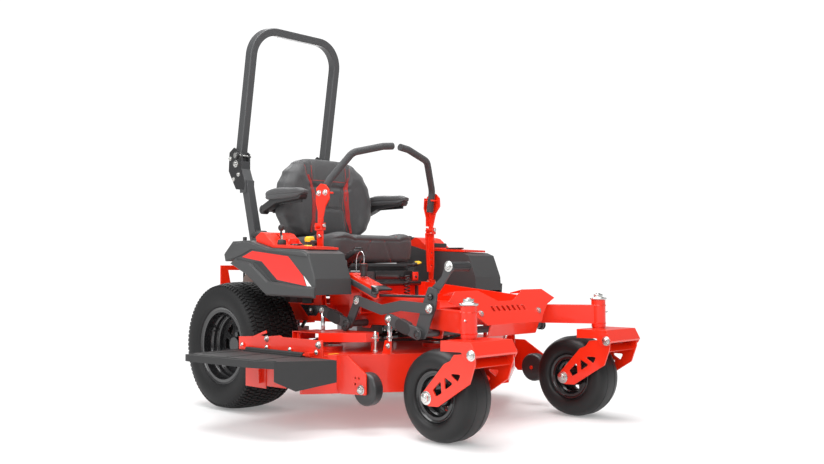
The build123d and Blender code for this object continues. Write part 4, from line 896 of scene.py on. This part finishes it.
def fastenings():
    """Bolt heads and caps on the casters, forks, levers, nose, deck wheels and roll bar feet."""
    x = -CASTER_X
    cap = turned("barrel_cap", [(0, 8.5), (0, 33), (1.5, 34.5), (6, 34.5), (8.3, 32), (8.3, 24), (11, 21),
                                (11, 8.5)], (x, SWIVEL_Y, 483.7), UP, ZINC, 56, 30)
    nut = rod("cap_nut", (x, SWIVEL_Y, 494), (x, SWIVEL_Y, 507), 20.5, ZINC, 1.5, 6)
    tip = rod("spindle_end", (x, SWIVEL_Y, 506), (x, SWIVEL_Y, 511), 9, ZINC, 1.2, 24)
    on_both("swivel_cap", "{side}_caster_head", "steel", cap, nut, tip)
    front, back, nose_tilt = (0, -1, 0), (0, 1, 0), (0, -128, 75)
    for name, body, *rows in (
            ("fork_pivot_bolts", "{side}_caster_head", ((x - 109.6, -1388, 325), OUT, 15.4, 18.5, 7),
             ((x + 109.6, -1388, 325), LEFT, 15.4, 18.5, 7)),
            ("fork_axle_bolts", "{side}_fork_arm", ((x - 104.2, CASTER_Y, CASTER_Z), OUT, 17, 24, 10.5),
             ((x + 104.2, CASTER_Y, CASTER_Z), LEFT, 17, 24, 10.5)),
            ("lever_head_bolts", "{side}_lap_bar", ((-347.2, -391, 940), OUT, 10.8, 13, 8),
             ((-347.2, -434, 940), OUT, 10.8, 13, 8)),
            ("lever_fork_pin", "{side}_lever_post", ((-344, -418.5, 800), front, 9, 0, 5),
             ((-344, -369.5, 800), back, 9, 0, 5)),
            ("deck_wheel_bolt", "deck", ((-546.2, -880, 168), OUT, 15.2, 18, 8.5)),
            ("nose_bolts", "frame", ((-180, -1148.5, 444), nose_tilt, 9, 12, 5)),
            ("lever_base_bolts", "frame", ((-362.2, -394, 548), OUT, 10, 13, 6)),
            ("post_foot_bolts", "frame", ((-264, 60, 470), UP, 10, 14, 6), ((-264, 176, 470), UP, 10, 14, 6))):
        on_both(name, body, "steel", *bolts(*rows))
    stop = turned("post_stop", [(0, 0.5), (0, 9), (10, 9), (12, 7), (12, 0.5)], (-347, -400, 754), OUT, ZINC, 28)
    on_both("lever_stop_bolt", "{side}_lever_post", "steel", stop, *bolt((-324, -388, 545), LEFT, 9, 12, 5))


def arm_plate(name, foot, tip, x0, x1, half, metal, bevel=1.0):
    """Flat arm with round ends between two (y, z) points."""
    start = math.atan2(tip[1] - foot[1], tip[0] - foot[0])
    points = []
    for end, first in ((tip, -0.5), (foot, 0.5)):
        for k in range(11):
            angle = start + math.pi * (k / 10 + first)
            points.append((end[0] + half * math.cos(angle), end[1] + half * math.sin(angle)))
    return across(name, points, x0, x1, metal, bevel, 1)


def lift_arm(body, foot, link_bolt_proud):
    """Outer plates, sleeve, bolts and hanger rods at one shaft of the deck lift."""
    tip = (foot[0] + 152, foot[1] + 50)
    plate = arm_plate("hanger_plate", foot, tip, -387.2, -384.3, 21.5, SATIN)
    sleeve = arm_plate("hanger_sleeve", (foot[0] + 58, foot[1] + 19), (foot[0] + 92, foot[1] + 30.3), -389.4, -366,
                       24.5, TRIM, 1.5)
    socket = turned("shaft_socket", [(0, 8), (0, 15), (1.4, 15.5), (2.2, 14), (2.2, 9), (0.6, 8)],
                    (-387.2, *foot), OUT, BLACK, 40)
    on_both("lift_arm_" + body, body, "grey_paint", plate, sleeve, socket, *bolt((-387.2, *tip), OUT, 11, 14.5, 7))
    on_one("link_bolt_" + body, body, "steel",
           *bolt((-377.8, foot[0] - 54, foot[1] + 95), OUT, 12.5, 17, link_bolt_proud))
    y = tip[0]
    hanger = [rod("hanger_rod", (-380.7, y, 336), (-380.7, y, tip[1] - 13), 8.8, CHROME, 0.6, 28),
              rod("hanger_nut", (-380.7, y, 344), (-380.7, y, 355), 13, ZINC, 1, 6)]
    hanger += bolt((-383.8, y + 6, 316), OUT, 9.5, 12, 6)
    if body == "front_lift":
        for z0, z1, radius, sides in ((286.2, 372, 6, 20), (345, 348, 21, 36), (349, 358, 10.5, 6),
                                      (286.2, 300, 10.5, 6)):
            hanger.append(rod("adjuster", (-398, y + 62, z0), (-398, y + 62, z1), radius, ZINC, 0.6, sides))
    on_both("hangers_" + body, "deck", "steel", *hanger)


def lift_gear():
    """Both lift arms, the depth rod's nut and the pedal's grip."""
    lift_arm("front_lift", (-1012.0, 370.0), 8)
    lift_arm("rear_lift", (-610.0, 393.0), 3.4)
    on_one("rod_nut", "front_lift", "black_paint", *bolt((-371.2, -1070, 509), OUT, 13, 0, 9, BLACK))
    peg = (-1148.0, 621.0)
    sleeve = rod("pedal_sleeve", (-351, *peg), (-257, *peg), 17.5, TRIM, 0, 36)
    middle = at(0, *peg)
    for vertex in sleeve.data.vertices:
        spot = Vector((vertex.co.y - middle.y, vertex.co.z - middle.z))
        if math.degrees(math.atan2(spot.y, spot.x)) % 45 < 12:
            vertex.co.y, vertex.co.z = middle.y + spot.x * 0.9, middle.z + spot.y * 0.9
    soften(sleeve, 1.2, 2, 50)
    collar = rod("pedal_collar", (-257.5, *peg), (-252, *peg), 18.5, TRIM, 2, 36)
    on_one("pedal_grip", "front_lift", "grip_foam", sleeve, collar, *bolt((-359.2, *peg), OUT, 13.5, 20, 8))


def gauge_dress():
    """Cutting height gauge: dark side bar and front cap, raised hole rims, knob and its wire."""
    x = -369.0
    pieces = [across("gauge_bar", [(-590, 590), (-598, 586), (-776, 522), (-778, 503), (-766, 499), (-586, 566)],
                     x - 6, x - 0.2, SATIN, 2),
              slab("gauge_cap", [(x - 9, -748, 549), (x - 9, -793, 534), (x + 70, -793, 534), (x + 70, -748, 549)],
                   (0, 0, -8), BLACK, 3, 3),
              across("gauge_cheek", [(-752, 544), (-793, 530), (-793, 517), (-772, 511), (-752, 516)],
                     x - 9, x - 4, BLACK, 2)]
    for row in range(3):
        for col in range(4):
            y = -628 - 30 * col
            place = (x + 18 + 20 * row, y, 598.0 + (y + 600) * 0.357)
            pieces.append(turned("hole_rim", [(0, 5), (0, 8.6), (2.2, 7.6), (2.2, 5.4)], place, (0, -0.336, 0.942),
                                 LACQUER, 20))
    on_one("gauge_dress", "frame", "red_paint", *pieces, *bolt((x - 0.2, -592, 577), OUT, 15, 19, 9))
    knob = turned("gauge_knob", [(0, 4.6), (0, 13), (3, 14), (18, 14.5), (21, 17), (26, 17.5), (29, 15),
                                 (30, 0.5)], (x + 38, -658, 606), UP, TRIM, 40)
    sleeve = turned("gauge_sleeve", [(0, 4.7), (0, 13), (2, 14), (22, 13), (24, 11), (24, 4.7)],
                    (x + 38, -658, 583), UP, TRIM, 36)
    wire = pipe("gauge_wire", [(x + 38, -658, 634), (x + 37, -664, 668), (x + 34, -648, 690),
                               (x + 30, -624, 672), (x + 30, -618, 616), (x + 32, -622, 597)], 1.6, CHROME, 10, 4)
    on_one("gauge_pin_dress", "frame", "knob_plastic", knob, sleeve, wire)
    hook = across("gauge_bracket", [(-566, 592), (-572, 640), (-566, 650), (-540, 648), (-538, 626), (-550, 624),
                                    (-552, 590)], x + 20, x + 26, SATIN, 2)
    on_one("gauge_stay", "frame", "grey_paint", hook, *bolt((x + 19.6, -562, 604), OUT, 8, 11, 5))


def pod_dress():
    """Raised upper shell, decal, a dark sheet as painted shade in the slot, the filler cap and vent, and the brackets
    under each pod.
    """
    upper = [(-20, 655), (-12, 682), (-72, 730), (-190, 731), (-330, 696), (-560, 684), (-592, 673), (-600, 660),
             (-470, 673), (-221, 700), (-141, 674), (-92, 664)]
    decal = [(-145, 667), (-221, 692), (-470, 666), (-566, 588), (-588, 547), (-398, 571), (-290, 647)]
    # The slot's outline: a dark sheet laid on the pod as painted shade where the slot is.
    slot = [(-228, 646), (-284, 645), (-402, 564), (-366, 561), (-262, 632)]
    on_both("pod_side", "frame", "pod_plastic",
            across("pod_upper_shell", upper, -577.5, -569, POD, 4, 2),
            across("pod_decal", decal, -573.3, -571.5, DECAL, 0.4, 1),
            across("pod_decal_edge", [(-571, 588), (-620, 546), (-593, 546)], -573.3, -571.5, WHITE, 0.3, 1),
            across("pod_slot_shade", slot, -574.6, -571.5, TRIM, 1, 1))
    on_both("pod_bracket", "frame", "black_paint",
            across("pod_bracket", [(-291, 462), (-441, 460), (-398, 416), (-346, 415)], -372, -366, BLACK, 1),
            turned("bracket_eye", [(0, 6), (0, 15), (1.5, 15), (1.5, 6)], (-372, -366, 440), OUT, TRIM, 32),
            *bolt((-372.4, -368, 440), OUT, 8, 0, 6))
    cap = turned("filler_cap", [(0, 30), (0, 40), (3, 42), (20, 42), (25, 39), (26, 26), (30, 24), (32, 20),
                                (32, 1)], (-455, -120, 752.4), UP, TRIM, 72, 25)
    ribs = []
    for k in range(18):
        a = math.radians(20 * k)
        x, y = -455 + 41.5 * math.cos(a), -120 + 41.5 * math.sin(a)
        ribs.append(rod("cap_rib", (x, y, 756), (x, y, 773), 3, TRIM, 0.8, 10))
    vent = rod("tank_vent", (-500, -60, 736), (-500, -60, 758), 9, TRIM, 2, 20)
    on_both("tank_cap", "frame", "knob_plastic", cap, vent, *ribs)


def console_top(y):
    """Height of the right console's sloping top."""
    return 716 + (y + 335) * 0.0606


def console_dress():
    """Switches, gauge and knobs on the right console, cup holder on the left."""
    upright = {name: turned(name, section, place, UP, metal, steps) for name, section, place, metal, steps in (
        ("key_switch", [(0, 4), (0, 17), (4, 19), (16, 18), (22, 16), (24, 12), (24, 1)],
         (-515, -352, console_top(-352) - 1), TRIM, 40),
        ("hour_meter", [(0, 3), (0, 24), (4, 26), (8, 25), (8, 21), (5, 20), (5, 1)],
         (-500, -430, console_top(-430) - 1), BLACK, 48),
        ("meter_face", [(0, 1), (0, 19.5), (1, 19.5), (1, 1)], (-500, -430, console_top(-430) + 4.2), WHITE, 40),
        ("choke_knob", [(0, 2), (0, 7), (14, 6), (16, 13), (24, 14), (27, 10), (28, 1)],
         (-465, -500, console_top(-500) - 1), TRIM, 36),
        ("pto_collar", [(0, 6), (0, 22), (3, 24), (6, 22), (6, 6)], (-430, -430, console_top(-430) - 2), YELLOW, 40),
        ("cup_holder", [(0, 34), (0, 42), (3, 44), (6, 42), (6, 38), (1, 36), (-2, 34)], (466, -440, 711), TRIM, 56),
        ("cup_well", [(-1, 1), (-1, 36), (1.5, 36), (1.5, 1)], (466, -440, 711), BLACK, 48),
        ("pto_pull", [(14, 12), (16, 19), (24, 21), (34, 20), (38, 15), (39, 1), (16, 1)], (-430, -430, 712), YELLOW,
         40))}
    cup, well, pull = (upright.pop(name) for name in ("cup_holder", "cup_well", "pto_pull"))
    on_one("console_switches", "frame", "knob_plastic", *upright.values(),
           brick("key", (-517, -357, 738), (-513, -347, 756), ZINC, 1),
           brick("fuse_box", (-460, -330, 716), (-405, -275, 744), LACQUER, 3),
           slab("switch_plate", [(-538, -545, 703.6), (-395, -545, 703.6), (-395, -352, 715.3), (-538, -352, 715.3)],
                (0, 0, 1.4), LACQUER, 0.6, 1))
    tray = brick("tray", (400, -330, 714), (530, -265, 742), TRIM, 5, 3)
    on_one("console_tray", "frame", "knob_plastic", cup, well, tray)
    grip = turned("grip", [(-9, 1), (-9, 10), (-6, 13), (6, 13), (9, 10), (9, 1)], (-480, -300, 790), OUT, TRIM, 36)
    on_one("throttle_grip", "throttle_lever", "knob_plastic", grip)
    on_one("pto_pull", "pto_knob", "knob_plastic", pull)


def roll_bar_dress():
    """Black facings, bolts and knobs of the fold brackets."""
    y, z = 326.0, 1136.0
    cheek = [(y + dy, z + dz) for dy, dz in ((19, 83), (59, 61), (65, -32), (2, -125), (-65, -133), (-77, -96),
                                             (-47, -28), (-47, 47), (-28, 59))]
    pieces = [across("cheek_facing", cheek, x, x + 1.8, BLACK, 0.8, 1) for x in (-290.6, -239.2)]
    for out, x in ((-1, -290.6), (1, -237.4)):
        for dy, dz in ((50, 30), (20, -75), (-22, -54)):
            pieces += bolt((x, y + dy, z + dz), (out, 0, 0), 8, 11, 4.5)
        pieces += bolt((x + out, y, z), (out, 0, 0), 14, 18, 7)
    on_both("fold_bracket", "frame", "black_paint", *pieces)
    on_both("latch_knob", "frame", "knob_plastic",
            turned("latch_knob", [(0, 7), (0, 15), (3, 18), (15, 18), (18, 15), (18, 1)], (-304, y - 38, z + 36), OUT,
                   TRIM, 36))


def chute_dress():
    """Chute bracket bolts, deck decals, the baffle under the chute and the belt covers' knobs."""
    domes = [dome((-662.2, y, 306), 9.5) for y in (-280, -450, -600, -760)]
    on_one("chute_bracket_bolts", "deck", "steel", *domes,
           *bolts(((-657.2, -446, 339), OUT, 10, 13, 6), ((-657.2, -770, 333), OUT, 11, 14, 7)))
    side = [(-560, 206), (-560, 152), (-430, 150), (-400, 160), (-400, 262), (-560, 262)]
    on_one("discharge_baffle", "deck", "red_paint", across("baffle", side, -649, -645, LACQUER, 1),
           brick("baffle_lip", (-668, -404, 160), (-646, -400, 262), LACQUER, 1))
    on_one("deck_mark", "deck", "red_paint",
           slab("deck_mark", [(-548, -690, 286.2), (-500, -690, 286.2), (-500, -705, 286.2), (-548, -705, 286.2)],
                (0, 0, 0.8), YELLOW, 0.2, 1))
    on_both("cover_knob", "deck", "knob_plastic",
            turned("cover_knob", [(0, 3), (0, 9), (4, 9), (6, 16), (18, 17), (22, 13), (22, 1)], (-380, -600, 362),
                   UP, TRIM, 36))
    edge = [(-655, -250), (-910, -278), (-915, -300), (-882, -656), (-846, -762)]
    rib = pipe("chute_rib", [(x, y, 285.2) for x, y in edge], 2.4, CHUTE, 6, 4)
    straps = [slab("chute_strap", [(-690, y, 285), (-868, y - 10, 285), (-868, y - 26, 285), (-690, y - 18, 285)],
                   (0, 0, 1.6), CHUTE, 0.8, 1) for y in (-300, -470, -640)]
    on_one("chute_ribs", "chute", "chute_rubber", rib, *straps)


def under_seat():
    """Box front, belt bracket, springs, cross tube and cables below the seat, and the brake's pad."""
    pieces = [brick("seat_front_box", (-60, -438, 568), (172, -431, 606), BLACK, 3),
              brick("belt_bracket", (176, -438, 560), (212, -426, 600), LACQUER, 2),
              *bolt((194, -438.4, 578), (0, -1, 0), 6, 0, 4, BLACK)]
    for x in (-120, 120):
        turns = [k * math.pi / 3 for k in range(36)]
        coils = [(x + 17 * math.cos(a), -454 + 12 * math.sin(a), 500 + 2.4 * k) for k, a in enumerate(turns)]
        pieces.append(pipe("seat_spring", coils, 2.6, BLACK, 3, 3))
    pieces.append(rod("cross_tube", (-212, -446, 548), (212, -446, 548), 11, BLACK, 1, 28))
    for k in range(4):
        pieces.append(pipe("control_cable", [(-150 + 22 * k, -410, 600), (-160 + 18 * k, -450, 560 - 6 * k),
                                             (-190 + 30 * k, -470, 500), (-200 + 34 * k, -430, 470)], 3.2, TRIM, 8, 4))
    on_one("under_seat_gear", "frame", "black_paint", *pieces)
    pad = across("pad", [(-424, 637), (-566, 700), (-578, 690), (-574, 676), (-436, 612)], -305, -257, TRIM, 5, 3)
    rib = ((-440, 643), (-446, 645.6), (-445, 650), (-438, 647))
    on_one("brake_pad", "brake_lever", "knob_plastic", pad,
           *[across("brake_rib", [(y - 20 * k, z + 8.7 * k) for y, z in rib], -302, -260, TRIM, 1, 1)
             for k in range(6)])


def engine_dress():
    """Cooling fins, rocker covers, screen, filter clips, muffler ends, hoses and drive details."""
    pieces, ends, muffler = [], [], []
    for side in (-1, 1):
        def block(name, x0, x1, y0, y1, z0, z1, bevel, segments):
            low, high = sorted((side * x0, side * x1))
            return brick(name, (low, y0, z0), (high, y1, z1), IRON, bevel, segments)

        pieces += [block("cooling_fin", 102 + 9.2 * k, 105 + 9.2 * k, 142, 278, 476, 604, 0.6, 1) for k in range(9)]
        pieces += [block("rocker_cover", 198, 222, 152, 268, 486, 594, 9, 3),
                   rod("spark_boot", (side * 206, 146, 566), (side * 214, 118, 586), 9, TRIM, 2, 20),
                   pipe("plug_lead", [(side * 214, 118, 586), (side * 190, 90, 604), (side * 120, 84, 640)], 4, TRIM,
                        8, 4)]
        ends.append(turned("filter_end", [(0, 1), (0, 49), (5, 50), (12, 44), (13, 1)], (side * 95, 120, 740),
                           (side, 0, 0), TRIM, 56))
        muffler += [turned("muffler_end", [(0, 1), (0, 59), (4, 60), (10, 54), (11, 1)], (side * 170, 372, 545),
                           (side, 0, 0), EXHAUST, 64),
                    brick("guard_side", (side * 166 - 6, 434, 494), (side * 166 + 6, 437, 600), BLACK, 1, 1)]
    pieces.append(turned("oil_filter", [(0, 2), (0, 38), (70, 38), (78, 32), (80, 2)], (-60, 92, 520), (0, -1, 0),
                         WHITE, 56))
    on_one("engine_dress", "frame", "cast", *pieces)
    screen = [turned("screen_ring", [(0, r - 2.2), (2.4, r - 1.6), (2.4, r + 1.6), (0, r + 2.2)], (0, 210, 712), UP,
                     TRIM, 64) for r in range(22, 95, 12)]
    for k in range(12):
        spoke = brick("screen_spoke", (14, -1.6, 0), (94, 1.6, 3.0), TRIM, 0.6, 1)
        spoke.data.transform(Matrix.Translation(at(0, 210, 712)) @ Matrix.Rotation(math.radians(30 * k), 4, "Z")
                             @ Matrix.Translation(-at(0, 0, 0)))
        screen.append(spoke)
    screen += [turned("filter_band", [(-3, 47), (-3, 50), (3, 50), (3, 47)], (x, 120, 740), OUT, TRIM, 56)
               for x in (-70, -35, 0, 35, 70)]
    on_one("cover_dress", "frame", "cover_plastic", *screen, *ends)
    muffler += [turned("muffler_seam", [(-4, 57), (-4, 60), (4, 60), (4, 57)], (0, 372, 545), OUT, EXHAUST, 64),
                turned("tail_pipe", [(0, 13), (0, 17), (60, 17), (60, 13)], (120, 410, 500), (0.2, 1, -0.55), EXHAUST,
                       40)]
    muffler += [brick("guard_slat", (-160, 436, 500 + 26 * k), (160, 439, 512 + 26 * k), BLACK, 1, 1)
                for k in range(4)]
    on_one("muffler_dress", "frame", "cast", *muffler)
    for side, word in ((-1, "right"), (1, "left")):
        hose = [(side * x, y, z) for x, y, z in ((185, -60, 340), (200, -110, 380), (190, -150, 420), (160, -170, 470))]
        fins = [brick("case_fin", (side * 255 - 55, -50 + 16 * k, 349), (side * 255 + 40, -46 + 16 * k, 358), ALLOY,
                      0.8, 1) for k in range(7)]
        on_one("drive_dress_" + word, "frame", "alloy", pipe("drive_hose", hose, 8, TRIM, 10, 5),
               rod("drive_filter", (side * 225, 84, 300), (side * 225, 76, 300), 36, ALLOY, 2, 48),
               rod("drive_cap", (side * 170, 20, 350), (side * 170, 20, 366), 15, TRIM, 2, 28), *fins)


def frame_dress():
    """Weld beads and grease nipples at the barrels, and the flange under the nose."""
    welds = [turned("barrel_weld", [(0, 28.5), (0, 31.5), (3 * way, 31), (4.5 * way, 28.5)],
                    (-CASTER_X, SWIVEL_Y, z), UP, LACQUER, 56) for z, way in ((459, 1), (389, -1))]
    nipple = rod("grease_nipple", (-CASTER_X - 27, SWIVEL_Y - 12, 430), (-CASTER_X - 40, SWIVEL_Y - 17, 434), 3.6,
                 ZINC, 0.6, 12)
    on_both("barrel_dress", "frame", "red_paint", *welds, nipple)
    for side in (-1, 1):
        flange = [(side * 150, -1154, 357), (side * 150, -1146, 357), (-side * 2, -1146, 357), (-side * 2, -1154, 357)]
        to_body(slab("belly_flange", flange, (0, 0, -3), LACQUER, 0.8, 1), "frame")


for dress in (fastenings, lift_gear, gauge_dress, pod_dress, console_dress, roll_bar_dress, chute_dress, under_seat,
              engine_dress, frame_dress):
    dress()
